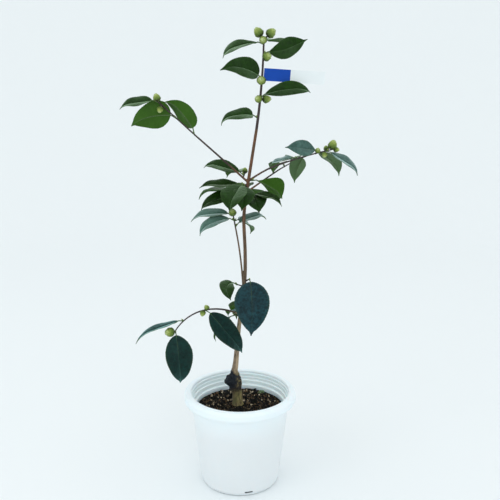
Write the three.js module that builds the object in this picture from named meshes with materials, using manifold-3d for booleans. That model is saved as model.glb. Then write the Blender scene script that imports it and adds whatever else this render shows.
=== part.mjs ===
// A young grafted camellia in its white nursery pot: pot, soil, trunk, boughs and sprays of leaves and buds.
// Millimetres, +Z up, origin at the centre of the pot's flat underside.
// Headings are degrees round +Z from +X, and rises are degrees above the horizontal.
import * as THREE from "three";
import { mergeVertices } from "three/addons/utils/BufferGeometryUtils.js";
import Module from "manifold-3d";

const wasm = await Module();
wasm.setup();

// Driving sizes of the pot. Above THICK_FROM its inside stands upright, up to the stepped rings of the mouth.
const POT_HEIGHT = 156;
const RIM_RADIUS = 90;
const MOUTH_RADIUS = 78;
const NECK_RADIUS = 79;
const BASE_RADIUS = 62.5;
const LIP_HEIGHT = 16;
const NECK_HEIGHT = POT_HEIGHT - LIP_HEIGHT;
const FOOT_ROUNDING = 6;
const WALL = 3;
const FLOOR = 3.5;
const THICK_FROM = 100;
const RINGS = { top: 3, foot: 24, steps: [[0, 5], [1.5, 10.5], [2.5, 16], [4.5, 22.5]] };
const POT_SIDES = 36;
const DRAIN = { width: 13, depth: 24, low: 6, high: 9, count: 4, firstHeading: -77 };

// The soil fills the pot to this height, and the trunk is cut flat there
const SOIL_LEVEL = 128;
const SOIL_RADIUS = 71;
const SOIL_EDGE = { inset: 6, drop: 1.5 };

// Every solid keeps this gap to the one that carries it
const GAP = 0.3;
const SOIL_CLEARANCE = 0.5;

// The trunk's stations, from the flat cut at the soil, through the graft, to the fork: x, y, z and radius
const TRUNK = [
  [-4, 5, SOIL_LEVEL, 10],
  [-4.2, 5, 135, 8.7],
  [-5, 4.5, 150, 7.9],
  [-7.5, 3, 161, 10.2],
  [-8.8, 2, 171, 11],
  [-8.8, 1, 180, 8.6],
  [-8.6, 0, 189, 5.6],
  [-6.3, 0, 206, 4.4],
  [-1.7, 0, 260, 3.4],
  [7.5, 0, 336, 2.9],
  [8.6, 0, 385, 2.7],
  [6.8, 0, 440, 2.6],
  [11.5, 0, 482, 2.6],
  [13.8, 0, 497.5, 2.6],
];
const TRUNK_STEPS = 36;
const TRUNK_SIDES = 8;
const TRUNK_DOME = 0.5;
const CUT_BLOCK = { side: 60, depth: 40 };

// The sealed stub of the rootstock, which bulges beside the graft
const GRAFT_STUB = { height: 168, heading: 195, rise: 28, length: 15.5, radii: [11, 6.8], steps: 3 };

// Each bough leaves the trunk at a height, rises on a heading and bends down by so many degrees
const BOUGHS = {
  leader_bough: { height: 493, heading: 351, rise: 81, length: 82, bend: 0, radii: [2.5, 2.2] },
  left_bough: { height: 494, heading: 192, rise: 43, length: 105, bend: 1, radii: [1.7, 1.3] },
  right_bough: { height: 496, heading: 10, rise: 34, length: 38, bend: 9, radii: [1.6, 1.35] },
  lower_right_bough: { height: 479, heading: 31, rise: 28, length: 64, bend: 2, radii: [1.5, 1.2] },
  side_shoot_bough: { height: 320, heading: 150, rise: 88, length: 104, bend: 11, radii: [1.5, 1.25] },
  lower_left_bough: { height: 283, heading: 194, rise: 32, length: 50, bend: 32, radii: [1.6, 1.35] },
};
const BOUGH_STEPS = 6;
const BOUGH_SIDES = 6;
const BOUGH_DOME = 0.35;

// A leaf: widest a little before its middle, its halves folded up, drawn out to a drip tip that hooks down.
// Stations are shares of the blade's length, and the hook is spread over the last of them.
const LEAF = {
  widthShare: 0.52,
  thickness: 1,
  stations: [0, 0.05, 0.15, 0.32, 0.5, 0.68, 0.82, 0.91, 1],
  outline: { bodyEnd: 0.93, lean: 0.85, fullness: 0.78, tipTaper: 1.4, tipWidth: 0.18, pointWidth: 0.03 },
  fold: { angle: 16, spread: 5 },
  hook: { angle: 40, spread: 14, from: 0.68 },
  stalk: { length: 9, width: 1.8, lift: 20, steepest: 80 },
};

// A bud: its stalk's radii and end, and its outline in shares of its length, out from its axis and along it
const BUD = {
  sides: 7,
  stalkRadii: [1, 1.1],
  outline: [[0.31, -0.375], [0.46, -0.05], [0.38, 0.25], [0.17, 0.44], [0, 0.5]],
  stalkEnd: -0.45,
};

// Sprays. Each grows from its bough's tip, from a share of its bough or from the trunk at a height, and keeps
// within its reach. Its leaves and buds stand at shares of its stem. A leaf gives the heading, rise and roll
// that its blade starts with, its length, how far it curls under and how far it sways to one side.
const SPRAYS = {
  foliage_top: {
    bough: "leader_bough", heading: 354, rise: 82, length: 131, bend: -7, radii: [2.1, 1.3], reach: 170,
    leaves: [
      { at: 0.12, heading: 196, rise: 14, roll: -34, length: 57, curl: 52, width: 26, lean: 0.52 },
      { at: 0.345, heading: 338, rise: 20, roll: 62, length: 74, curl: 36, width: 24, sway: -6, lean: 1.05 },
      { at: 0.54, heading: 202, rise: 36, roll: -62, length: 64, curl: 6, width: 35, sway: 46, lean: 0.64 },
      { at: 0.83, heading: 330, rise: -3, roll: 82, length: 63, curl: -6, width: 30, sway: 36, lean: 1.15 },
      { at: 0.93, heading: 184, rise: -1, roll: -32, length: 61, curl: 34, width: 25, lean: 1.4 },
      { at: 0.95, heading: 50, rise: 0, roll: 0, length: 60, curl: 12 },
    ],
    buds: [
      { at: 0.325, heading: 235, rise: 20, reach: 5.5, length: 12 },
      { at: 0.325, heading: 355, rise: 8, reach: 10, length: 13 },
      { at: 0.53, heading: 262, rise: 15, reach: 7.5, length: 14 },
      { at: 0.78, heading: 325, rise: 20, reach: 7.5, length: 14 },
      { at: 0.975, heading: 262, rise: 0, reach: 8.5, length: 12 },
      { at: 0.98, heading: 185, rise: 52, reach: 13, length: 15 },
      { at: 0.98, heading: 350, rise: 41, reach: 14, length: 15 },
    ],
  },
  foliage_left: {
    bough: "left_bough", heading: 190, rise: 43, length: 74, bend: 0, radii: [1.2, 0.9], reach: 150,
    leaves: [
      { at: 0.06, heading: 176, rise: 62, roll: 60, length: 60, curl: 12, width: 35, sway: -20, lean: 0.68 },
      { at: 0.53, heading: 186, rise: 8, roll: 80, length: 62, curl: 6, width: 44, sway: -36, lean: 0.66 },
      { at: 1, heading: 172, rise: -7, roll: -34, length: 54, curl: 4, width: 23 },
    ],
    buds: [
      { at: 1, heading: 190, rise: 72, reach: 6.5, length: 12 },
      { at: 0.92, heading: 255, rise: -50, reach: 9, length: 10 },
    ],
  },
  foliage_right: {
    bough: "right_bough", heading: 7, rise: 20, length: 100, bend: 9, radii: [1.3, 0.9], reach: 160,
    leaves: [
      { at: 0.44, heading: 158, rise: -14, roll: -12, length: 45, curl: 8, width: 25 },
      { at: 0.57, heading: 124, rise: -46, roll: 26, length: 48, curl: 12, width: 26, sway: -16 },
      { at: 0.785, heading: 214, rise: 10, roll: -72, length: 54, curl: 0, width: 25, lean: 1 },
      { at: 0.72, heading: 40, rise: -18, roll: -10, length: 60, curl: 34 },
      { at: 0.88, heading: 350, rise: -33, roll: 14, length: 55, curl: -4 },
    ],
    buds: [
      { at: 0.75, heading: 280, rise: 55, reach: 5.5, length: 9 },
      { at: 0.88, heading: 250, rise: -48, reach: 7, length: 9 },
      { at: 0.9, heading: 100, rise: 45, reach: 5, length: 9 },
      { at: 0.97, heading: 350, rise: 75, reach: 8, length: 15 },
      { at: 1, heading: 350, rise: -5, reach: 5, length: 9 },
    ],
  },
  foliage_lower_right: {
    bough: "lower_right_bough", heading: 24, rise: 26, length: 22, bend: 4, radii: [1.1, 0.8], reach: 110,
    leaves: [
      { at: 0.5, heading: 108, rise: 2, roll: 0, length: 54, curl: 40 },
      { at: 1, heading: 78, rise: 12, roll: 0, length: 50, curl: 34 },
    ],
    buds: [{ at: 1, heading: 20, rise: 20, reach: 5, length: 8 }],
  },
  foliage_side_shoot: {
    bough: "side_shoot_bough", heading: 150, rise: 78, length: 20, bend: 0, radii: [1.2, 1], reach: 110,
    leaves: [
      { at: 0.05, heading: 24, rise: 24, roll: 12, length: 52, curl: 28, width: 24 },
      { at: 0.5, heading: 45, rise: -16, roll: 24, length: 50, curl: 34 },
      { at: 0.55, heading: 204, rise: 4, roll: -18, length: 58, curl: 46, width: 27 },
      { at: 0.9, heading: 176, rise: 4, roll: -20, length: 64, curl: 24, width: 25 },
    ],
    buds: [{ at: 1, heading: 240, rise: 60, reach: 5, length: 13 }],
  },
  foliage_bough_foot: {
    bough: "left_bough", share: 0.1, heading: 70, rise: 35, length: 10, bend: 0, radii: [1, 0.8], reach: 90,
    leaves: [
      { at: 0.5, heading: 172, rise: 18, roll: -34, length: 61, curl: 12, width: 25 },
      { at: 0.9, heading: 122, rise: -2, roll: 0, length: 50, curl: 20 },
    ],
    buds: [{ at: 1, heading: 90, rise: 60, reach: 4.5, length: 9 }],
  },
  foliage_fork_left: {
    height: 490, heading: 200, rise: 10, length: 8, bend: 0, radii: [1.1, 0.8], reach: 90,
    leaves: [{ at: 0.8, heading: 194, rise: -6, roll: -17, length: 61, curl: -18, width: 27 }],
    buds: [],
  },
  foliage_fork_low_left: {
    height: 471, heading: 180, rise: 35, length: 12, bend: 0, radii: [1.1, 0.8], reach: 90,
    leaves: [
      { at: 0.9, heading: 165, rise: 3, roll: 4, length: 64, curl: 14 },
      { at: 0.4, heading: 196, rise: -6, roll: -34, length: 66, curl: 18, width: 26 },
    ],
    buds: [],
  },
  foliage_fork_front: {
    height: 486, heading: 240, rise: 25, length: 13, bend: 0, radii: [1.2, 0.9], reach: 90,
    leaves: [
      { at: 1, heading: 246, rise: -14, roll: -4, length: 53, curl: 34, width: 42, lean: 1 },
      { at: 0.7, heading: 268, rise: -18, roll: -8, length: 47, curl: 32, width: 32 },
    ],
    buds: [],
  },
  foliage_fork_right: {
    height: 496, heading: 350, rise: 12, length: 6, bend: 0, radii: [1.1, 0.8], reach: 90,
    leaves: [{ at: 0.9, heading: 330, rise: -13, roll: -66, length: 52, curl: 0, width: 43, sway: 24, lean: 1.9 }],
    buds: [],
  },
  foliage_fork_low_right: {
    height: 469, heading: 330, rise: 30, length: 12, bend: 0, radii: [1.1, 0.8], reach: 90,
    leaves: [
      { at: 1, heading: 315, rise: 2, roll: 14, length: 55, curl: 10, width: 19, lean: 0.72 },
      { at: 0.9, heading: 284, rise: -8, roll: 6, length: 40, curl: 30, width: 34 },
    ],
    buds: [],
  },
  foliage_fork_back: {
    height: 478, heading: 80, rise: 40, length: 12, bend: 0, radii: [1.2, 0.9], reach: 90,
    leaves: [
      { at: 0.5, heading: 62, rise: -20, roll: 0, length: 60, curl: 34 },
      { at: 1, heading: 100, rise: -4, roll: 0, length: 58, curl: 36 },
    ],
    buds: [],
  },
  foliage_low_front: {
    height: 338, heading: 318, rise: 30, length: 12, bend: 0, radii: [1.4, 1], reach: 115,
    leaves: [{ at: 1, heading: 278, rise: -30, roll: 4, length: 90, curl: 46, width: 54, sway: -10 }],
    buds: [],
  },
  foliage_low_side: {
    height: 330, heading: 196, rise: 20, length: 12, bend: 0, radii: [1.2, 0.9], reach: 80,
    leaves: [{ at: 1, heading: 212, rise: 10, roll: -14, length: 42, curl: 44, width: 25, sway: 112 }],
    buds: [],
  },
  foliage_low_left: {
    height: 281, heading: 165, rise: 10, length: 8, bend: 0, radii: [1.1, 0.8], reach: 90,
    leaves: [
      { at: 0.9, heading: 112, rise: -4, roll: 0, length: 34, curl: 30 },
      { at: 1, heading: 184, rise: -38, roll: 4, length: 50, curl: 22 },
    ],
    buds: [],
  },
  foliage_low_back: {
    height: 300, heading: 75, rise: 10, length: 12, bend: 0, radii: [1.2, 0.9], reach: 100,
    leaves: [
      { at: 0.6, heading: 104, rise: -24, roll: 0, length: 62, curl: 26 },
      { at: 1, heading: 62, rise: -12, roll: 0, length: 66, curl: 40 },
    ],
    buds: [],
  },
  foliage_lower_left: {
    bough: "lower_left_bough", heading: 194, rise: 0, length: 72, bend: 62, radii: [1.3, 0.9], reach: 160,
    leaves: [
      { at: 0.12, heading: 341, rise: -46, roll: 52, length: 86, curl: 2, width: 36, lean: 0.8 },
      { at: 0.64, heading: 188, rise: -18, roll: 0, length: 77, curl: 2, width: 24 },
      { at: 0.93, heading: 284, rise: -44, roll: 0, length: 80, curl: 36, width: 44, sway: 2 },
    ],
    buds: [
      { at: 0.06, heading: 200, rise: 60, reach: 4.5, length: 9 },
      { at: 0.16, heading: 250, rise: -50, reach: 5, length: 10 },
      { at: 0.94, heading: 215, rise: 5, reach: 10, length: 16 },
    ],
  },
};

// The blank plant label, whose narrow end loops round the stem of one spray
const LABEL = {
  spray: "foliage_top",
  share: 0.645,
  length: 90,
  height: 18,
  drop: 5,
  thickness: 0.9,
  heading: 6,
  tilt: 4,
  loop: { height: 5, wall: 1.1, sides: 12 },
};

// The sprays' natural unevenness comes from a small seeded generator, the same on each run
const SEED = 4711;
function makeDice(seed) {
  const [factor, modulus] = [16807, 2147483647];
  let state = seed;
  return (spread) => {
    state = (state * factor) % modulus;
    return (state / modulus - 0.5) * 2 * spread;
  };
}

const radians = THREE.MathUtils.degToRad;
const UPRIGHT = new THREE.Vector3(0, 0, 1);

function direction(heading, rise) {
  const h = radians(heading);
  const r = radians(rise);
  return new THREE.Vector3(Math.cos(r) * Math.cos(h), Math.cos(r) * Math.sin(h), Math.sin(r));
}

// A growing axis starts at a point on a heading and rise, and bends down evenly along its length
function growAxis(start, { heading, rise, length, bend = 0 }, steps) {
  const points = [start.clone()];
  for (let i = 0; i < steps; i += 1) {
    const share = (i + 0.5) / steps;
    const step = direction(heading, rise - bend * share).multiplyScalar(length / steps);
    points.push(points[i].clone().add(step));
  }
  return points;
}

// The point at a share of a growing axis of equal steps
function pointAlong(points, share) {
  const place = share * (points.length - 1);
  const i = Math.min(Math.floor(place), points.length - 2);
  return points[i].clone().lerp(points[i + 1], place - i);
}

function signedVolume(geometry) {
  const position = geometry.getAttribute("position");
  const index = geometry.getIndex();
  const corners = [new THREE.Vector3(), new THREE.Vector3(), new THREE.Vector3()];
  let volume = 0;
  for (let i = 0; i < index.count; i += 3) {
    corners.forEach((corner, k) => corner.fromBufferAttribute(position, index.getX(i + k)));
    volume += corners[0].dot(corners[1].cross(corners[2])) / 6;
  }
  return volume;
}

// A closed geometry as a solid, its doubled vertices merged and its faces turned outwards
function toSolid(geometry) {
  geometry.deleteAttribute("normal");
  geometry.deleteAttribute("uv");
  const merged = mergeVertices(geometry, 1e-4);
  const flip = signedVolume(merged) < 0;
  const index = merged.getIndex().array;
  const triangles = [];
  for (let i = 0; i < index.length; i += 3) {
    const [a, b, c] = [index[i], index[i + 1], index[i + 2]];
    const real = a !== b && b !== c && c !== a;
    if (real) triangles.push(...(flip ? [a, c, b] : [a, b, c]));
  }
  return new wasm.Manifold(new wasm.Mesh({
    numProp: 3,
    vertProperties: new Float32Array(merged.getAttribute("position").array),
    triVerts: new Uint32Array(triangles),
  }));
}

function toGeometry(solid) {
  const mesh = solid.getMesh();
  const geometry = new THREE.BufferGeometry();
  geometry.setAttribute("position", new THREE.BufferAttribute(new Float32Array(mesh.vertProperties), 3));
  geometry.setIndex(new THREE.BufferAttribute(new Uint32Array(mesh.triVerts), 1));
  geometry.computeVertexNormals();
  return geometry;
}

const LEAST_OVERLAP = 1e-3;
function touches(a, b) {
  return a.intersect(b).volume() > LEAST_OVERLAP;
}

// The one body of a fused solid: hollows that fusing has sealed are filled, and loose scraps are dropped
function mainBody(solid) {
  return solid.decompose().reduce((best, body) => (body.volume() > best.volume() ? body : best));
}

// An outline of radius and height pairs turned round +Z; it closes on itself or starts and ends on the axis
function revolve(outline, sides) {
  const lathe = new THREE.LatheGeometry(outline.map(([r, z]) => new THREE.Vector2(r, z)), sides);
  return lathe.rotateX(Math.PI / 2);
}

// A round tapering tube along a curve, its ends closed by low domes; radiusAt takes the share of the length
function taperedTube(curve, radiusAt, steps, sides, dome) {
  const outline = [[0, 0]];
  for (let i = 0; i <= steps; i += 1) outline.push([radiusAt(i / steps), i / steps]);
  outline.push([0, 1]);
  const lathe = new THREE.LatheGeometry(outline.map(([r, s]) => new THREE.Vector2(r, s)), sides);
  const frames = curve.computeFrenetFrames(steps);
  const position = lathe.getAttribute("position");
  for (let i = 0; i < position.count; i += 1) {
    const share = position.getY(i);
    const k = Math.round(share * steps);
    const pole = Math.hypot(position.getX(i), position.getZ(i)) < 1e-9;
    const outward = share < 0.5 ? -dome : dome;
    const point = curve.getPointAt(share)
      .addScaledVector(frames.normals[k], position.getX(i))
      .addScaledVector(frames.binormals[k], position.getZ(i))
      .addScaledVector(frames.tangents[k], pole ? outward * radiusAt(share) : 0);
    position.setXYZ(i, point.x, point.y, point.z);
  }
  return lathe;
}

// A limb along a growing axis, from one radius to the other, with its skin moved out by extra
function taperedLimb(points, [from, to], sides, extra = 0) {
  const curve = new THREE.CatmullRomCurve3(points, false, "catmullrom", 0.5);
  const radiusAt = (share) => from + (to - from) * share + extra;
  return toSolid(taperedTube(curve, radiusAt, points.length - 1, sides, BOUGH_DOME));
}

function potWallAt(height) {
  return BASE_RADIUS + (NECK_RADIUS - BASE_RADIUS) * (height / NECK_HEIGHT);
}

// The pot's outline: a tapering wall with a rounded foot, a heavy rolled rim and stepped rings in the mouth
function potOutline() {
  const foot = [22.5, 67.5].map((turn) => [
    BASE_RADIUS - FOOT_ROUNDING * (1 - Math.sin(radians(turn))),
    FOOT_ROUNDING * (1 - Math.cos(radians(turn))),
  ]);
  const lip = [
    [NECK_RADIUS, NECK_HEIGHT], [RIM_RADIUS - 2, NECK_HEIGHT], [RIM_RADIUS, NECK_HEIGHT + 5],
    [RIM_RADIUS - 0.8, POT_HEIGHT - 4], [RIM_RADIUS - 4, POT_HEIGHT - 0.5], [RIM_RADIUS - 8, POT_HEIGHT],
    [MOUTH_RADIUS + 1, POT_HEIGHT - 1.5],
  ];
  const rings = RINGS.steps.flatMap(([inset, depth], i) => {
    const from = i === 0 ? RINGS.top : RINGS.steps[i - 1][1];
    return [[MOUTH_RADIUS - inset, POT_HEIGHT - from], [MOUTH_RADIUS - inset, POT_HEIGHT - depth]];
  });
  return [
    [0, 0], [BASE_RADIUS - FOOT_ROUNDING, 0], ...foot, [potWallAt(FOOT_ROUNDING), FOOT_ROUNDING],
    ...lip, ...rings, [SOIL_RADIUS, POT_HEIGHT - RINGS.foot],
    [potWallAt(THICK_FROM) - WALL, THICK_FROM], [potWallAt(FLOOR) - WALL, FLOOR], [0, FLOOR],
  ];
}

// The drain slots cut through the foot of the pot's wall
function makePot() {
  let pot = toSolid(revolve(potOutline(), POT_SIDES));
  for (let i = 0; i < DRAIN.count; i += 1) {
    const slot = new THREE.BoxGeometry(DRAIN.depth, DRAIN.width, DRAIN.high - DRAIN.low);
    slot.translate(BASE_RADIUS, 0, (DRAIN.low + DRAIN.high) / 2);
    slot.rotateZ(radians(DRAIN.firstHeading + (360 / DRAIN.count) * i));
    pot = pot.subtract(toSolid(slot));
  }
  return pot;
}

// The soil fills the pot, clear of its wall and floor
function makeSoil() {
  const top = SOIL_LEVEL - GAP;
  const inside = WALL + SOIL_CLEARANCE;
  return toSolid(revolve([
    [0, FLOOR + GAP], [potWallAt(FLOOR) - inside, FLOOR + GAP], [potWallAt(THICK_FROM) - inside, THICK_FROM],
    [SOIL_RADIUS - SOIL_CLEARANCE, top - SOIL_EDGE.drop], [SOIL_RADIUS - SOIL_EDGE.inset, top], [0, top],
  ], POT_SIDES));
}

// The trunk's centre line and radius at a height
function trunkAt(height) {
  const i = Math.max(TRUNK.findIndex(([, , z]) => z >= height), 1);
  const [low, high] = [TRUNK[i - 1], TRUNK[i]];
  const share = (height - low[2]) / (high[2] - low[2]);
  const [x, y, z, radius] = low.map((value, k) => value + (high[k] - value) * share);
  return { point: new THREE.Vector3(x, y, z), radius };
}

// The trunk with its graft stub, its skin moved out by extra, cut flat at the soil
function makeTrunk(extra) {
  const stations = TRUNK.map(([x, y, z]) => new THREE.Vector3(x, y, z));
  const curve = new THREE.CatmullRomCurve3(stations, false, "catmullrom", 0.5);
  const radiusAt = (share) => trunkAt(curve.getPointAt(share).z).radius + extra;
  const stem = toSolid(taperedTube(curve, radiusAt, TRUNK_STEPS, TRUNK_SIDES, TRUNK_DOME));
  const start = trunkAt(GRAFT_STUB.height).point;
  const stubAxis = growAxis(start, GRAFT_STUB, GRAFT_STUB.steps);
  const stub = taperedLimb(stubAxis, GRAFT_STUB.radii, TRUNK_SIDES, extra);
  const below = new THREE.BoxGeometry(CUT_BLOCK.side, CUT_BLOCK.side, CUT_BLOCK.depth);
  below.translate(stations[0].x, stations[0].y, SOIL_LEVEL - CUT_BLOCK.depth / 2);
  return stem.add(stub).subtract(toSolid(below));
}

// The width of a leaf at a share of its length, as a share of its greatest width
function leafWidthAt(share, lean = LEAF.outline.lean) {
  const { bodyEnd, fullness, tipTaper, tipWidth, pointWidth } = LEAF.outline;
  const body = Math.max(Math.sin(Math.PI * Math.min(share / bodyEnd, 1) ** lean), 0) ** fullness;
  return Math.max(body, Math.min(tipTaper * (1 - share), tipWidth), pointWidth);
}

// The middle line of a leaf: its stalk from the node, then the blade, which curls under and hooks at the tip
function leafRib(node, leaf, hook) {
  const way = direction(leaf.heading, leaf.rise);
  const side = direction(leaf.heading - 90, 0).applyAxisAngle(way, radians(leaf.roll));
  const stalkWay = direction(leaf.heading, Math.min(leaf.rise + LEAF.stalk.lift, LEAF.stalk.steepest));
  const base = node.clone().addScaledVector(stalkWay, LEAF.stalk.length);
  const rib = [
    { point: node.clone(), way: stalkWay, side: side.clone(), share: -1 },
    { point: base, way: way.clone(), side: side.clone(), share: 0 },
  ];
  for (let i = 1; i < LEAF.stations.length; i += 1) {
    const span = LEAF.stations[i] - LEAF.stations[i - 1];
    const hooked = LEAF.stations[i] > LEAF.hook.from ? (hook * span) / (1 - LEAF.hook.from) : 0;
    const up = new THREE.Vector3().crossVectors(side, way);
    const sway = radians((leaf.sway ?? 0) * span);
    way.applyAxisAngle(up, sway);
    side.applyAxisAngle(up, sway);
    way.applyAxisAngle(side, -radians(leaf.curl * span + hooked));
    const point = rib[i].point.clone().addScaledVector(way, leaf.length * span);
    rib.push({ point, way: way.clone(), side: side.clone(), share: LEAF.stations[i] });
  }
  return rib;
}

// A leaf: a thin box, two cells across, bent along its middle line with its halves folded up from the midrib
function makeLeaf(node, leaf, dice) {
  const width = leaf.width ?? leaf.length * LEAF.widthShare;
  const fold = radians(LEAF.fold.angle + dice(LEAF.fold.spread));
  const rib = leafRib(node, leaf, LEAF.hook.angle + dice(LEAF.hook.spread));
  const steps = rib.length - 1;
  const blade = new THREE.BoxGeometry(1, 1, 1, 2, steps, 1);
  const position = blade.getAttribute("position");
  for (let i = 0; i < position.count; i += 1) {
    const { point, way, side, share } = rib[Math.round((position.getY(i) + 0.5) * steps)];
    const stalk = share <= 0;
    const up = new THREE.Vector3().crossVectors(side, way).normalize();
    const out = position.getX(i) * (stalk ? LEAF.stalk.width : width * leafWidthAt(share, leaf.lean));
    const thick = position.getZ(i) * (stalk ? LEAF.stalk.width : LEAF.thickness);
    const turn = stalk ? 0 : fold;
    const corner = point.clone()
      .addScaledVector(side, out * Math.cos(turn))
      .addScaledVector(up, Math.abs(out) * Math.sin(turn) + thick);
    position.setXYZ(i, corner.x, corner.y, corner.z);
  }
  return toSolid(blade);
}

// A plump bud on its short stalk, whose root is sunk in the stem
function makeBud(node, bud) {
  const along = (share) => bud.reach + bud.length * share;
  const shape = revolve([
    [0, 0], [BUD.stalkRadii[0], 0], [BUD.stalkRadii[1], along(BUD.stalkEnd)],
    ...BUD.outline.map(([out, share]) => [out * bud.length, along(share)]),
  ], BUD.sides);
  shape.applyQuaternion(new THREE.Quaternion().setFromUnitVectors(UPRIGHT, direction(bud.heading, bud.rise)));
  return toSolid(shape.translate(node.x, node.y, node.z));
}

// Whether a piece keeps within a reach of a point and clear of the other solids
function fits(piece, centre, reach, others) {
  const position = toGeometry(piece).getAttribute("position");
  const corner = new THREE.Vector3();
  for (let i = 0; i < position.count; i += 1) {
    if (corner.fromBufferAttribute(position, i).distanceTo(centre) > reach) return false;
  }
  return !others.some((other) => touches(piece, other));
}

// A spray's stem, with its leaves and buds fused on where they fit
function makeSpray(spray, axis, others, dice) {
  const pieces = [
    ...spray.leaves.map((leaf) => makeLeaf(pointAlong(axis, leaf.at), leaf, dice)),
    ...spray.buds.map((bud) => makeBud(pointAlong(axis, bud.at), bud)),
  ];
  const kept = pieces.filter((piece) => fits(piece, axis[0], spray.reach, others));
  return kept.reduce((mass, piece) => mass.add(piece), taperedLimb(axis, spray.radii, BOUGH_SIDES));
}

// The label: a blank tag beside its loop, which stays clear of the stem all round
function makeLabel(spray, axis) {
  const inner = spray.radii[0] + (spray.radii[1] - spray.radii[0]) * LABEL.share + GAP;
  const outer = inner + LABEL.loop.wall;
  const half = LABEL.loop.height / 2;
  const section = [[inner, -half], [outer, -half], [outer, half], [inner, half], [inner, -half]];
  const ring = revolve(section, LABEL.loop.sides);
  const tag = new THREE.BoxGeometry(LABEL.length, LABEL.thickness, LABEL.height);
  tag.translate(inner + LABEL.loop.wall / 2 + LABEL.length / 2, 0, -LABEL.drop);
  const geometry = toGeometry(toSolid(ring).add(toSolid(tag)));
  geometry.rotateY(radians(LABEL.tilt));
  geometry.rotateZ(radians(LABEL.heading));
  const centre = pointAlong(axis, LABEL.share);
  return geometry.translate(centre.x, centre.y, centre.z);
}

const FINISH = {
  pot: { color: 0xf2f5f6, roughness: 0.45, metalness: 0 },
  soil: { color: 0x3a2a20, roughness: 1, metalness: 0 },
  bark: { color: 0x7a6650, roughness: 0.85, metalness: 0 },
  bough: { color: 0x6b5445, roughness: 0.8, metalness: 0 },
  leaf: { color: 0x2f5234, roughness: 0.4, metalness: 0 },
  label: { color: 0x2f6fc0, roughness: 0.5, metalness: 0 },
};

const group = new THREE.Group();
function place(name, geometry, finish) {
  const mesh = new THREE.Mesh(geometry, new THREE.MeshStandardMaterial(FINISH[finish]));
  mesh.name = name;
  group.add(mesh);
}

place("pot", toGeometry(makePot()), "pot");
place("soil", toGeometry(makeSoil()), "soil");
place("trunk", toGeometry(makeTrunk(0)), "bark");

// Limbs and sprays start inside what carries them. Each is cut clear of the limbs before it, by grown copies.
const limbs = { trunk: { clearance: makeTrunk(GAP) } };
function cutClear(solid) {
  return mainBody(Object.values(limbs).reduce((rest, limb) => rest.subtract(limb.clearance), solid));
}

for (const [name, bough] of Object.entries(BOUGHS)) {
  const axis = growAxis(trunkAt(bough.height).point, bough, BOUGH_STEPS);
  place(name, toGeometry(cutClear(taperedLimb(axis, bough.radii, BOUGH_SIDES))), "bough");
  limbs[name] = { axis, clearance: taperedLimb(axis, bough.radii, BOUGH_SIDES, GAP) };
}

// The leaves and buds of a spray keep off the sprays before it and off every limb but its own
const dice = makeDice(SEED);
const masses = [];
for (const [name, spray] of Object.entries(SPRAYS)) {
  const carrier = spray.bough ?? "trunk";
  const onBough = () => pointAlong(limbs[carrier].axis, spray.share ?? 1);
  const axis = growAxis(spray.bough ? onBough() : trunkAt(spray.height).point, spray, BOUGH_STEPS);
  const otherLimbs = Object.entries(limbs).filter(([limb]) => limb !== carrier);
  const others = [...masses, ...otherLimbs.map(([, limb]) => limb.clearance)];
  const mass = cutClear(makeSpray(spray, axis, others, dice));
  masses.push(mass);
  place(name, toGeometry(mass), "leaf");
  if (name === LABEL.spray) place("plant_label", makeLabel(spray, axis), "label");
}

export default group;
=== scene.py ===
"""Dresses a young grafted camellia in its nursery pot: bark, twigs, leaves, buds, label, pot and soil.

The limbs and sprays grow by the rule of the solid model, in millimetres, and are carried to finer detail.
Headings are degrees round +Z from +X, and rises are degrees above the horizontal."""

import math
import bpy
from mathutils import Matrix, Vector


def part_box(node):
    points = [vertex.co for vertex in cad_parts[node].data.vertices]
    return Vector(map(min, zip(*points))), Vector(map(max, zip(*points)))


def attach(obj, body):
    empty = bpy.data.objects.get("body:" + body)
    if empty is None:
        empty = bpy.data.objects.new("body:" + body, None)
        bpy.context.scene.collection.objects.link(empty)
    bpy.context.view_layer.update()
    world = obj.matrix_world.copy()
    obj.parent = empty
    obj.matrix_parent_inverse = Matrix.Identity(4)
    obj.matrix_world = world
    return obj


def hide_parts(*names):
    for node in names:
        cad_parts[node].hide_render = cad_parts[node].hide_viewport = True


bl_info = {
    "name": "Potted Camellia",
    "version": (1, 0, 0),
    "blender": (4, 5, 0),
    "location": "3D View > Sidebar > Camellia",
    "description": "Makes the bark, leaves, buds, label, pot and soil of a young grafted camellia",
    "category": "Object",
}

from collections import namedtuple

import bpy
from bpy.props import FloatProperty, FloatVectorProperty, IntProperty, PointerProperty
from mathutils import Matrix, Quaternion, Vector, noise

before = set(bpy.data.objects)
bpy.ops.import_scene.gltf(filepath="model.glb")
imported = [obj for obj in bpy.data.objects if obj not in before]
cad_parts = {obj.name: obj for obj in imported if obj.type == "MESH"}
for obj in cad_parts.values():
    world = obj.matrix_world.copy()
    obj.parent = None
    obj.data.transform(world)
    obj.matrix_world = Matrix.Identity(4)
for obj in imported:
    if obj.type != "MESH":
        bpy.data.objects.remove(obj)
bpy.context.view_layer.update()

MM = 0.001
BODY = "root"

# The trunk's stations, from the flat cut at the soil, through the graft, to the fork: x, y, z and radius
TRUNK = [
    (-4, 5, 128, 10), (-4.2, 5, 135, 8.7), (-5, 4.5, 150, 7.9), (-7.5, 3, 161, 10.2), (-8.8, 2, 171, 11),
    (-8.8, 1, 180, 8.6), (-8.6, 0, 189, 5.6), (-6.3, 0, 206, 4.4), (-1.7, 0, 260, 3.4), (7.5, 0, 336, 2.9),
    (8.6, 0, 385, 2.7), (6.8, 0, 440, 2.6), (11.5, 0, 482, 2.6), (13.8, 0, 497.5, 2.6),
]

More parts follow.
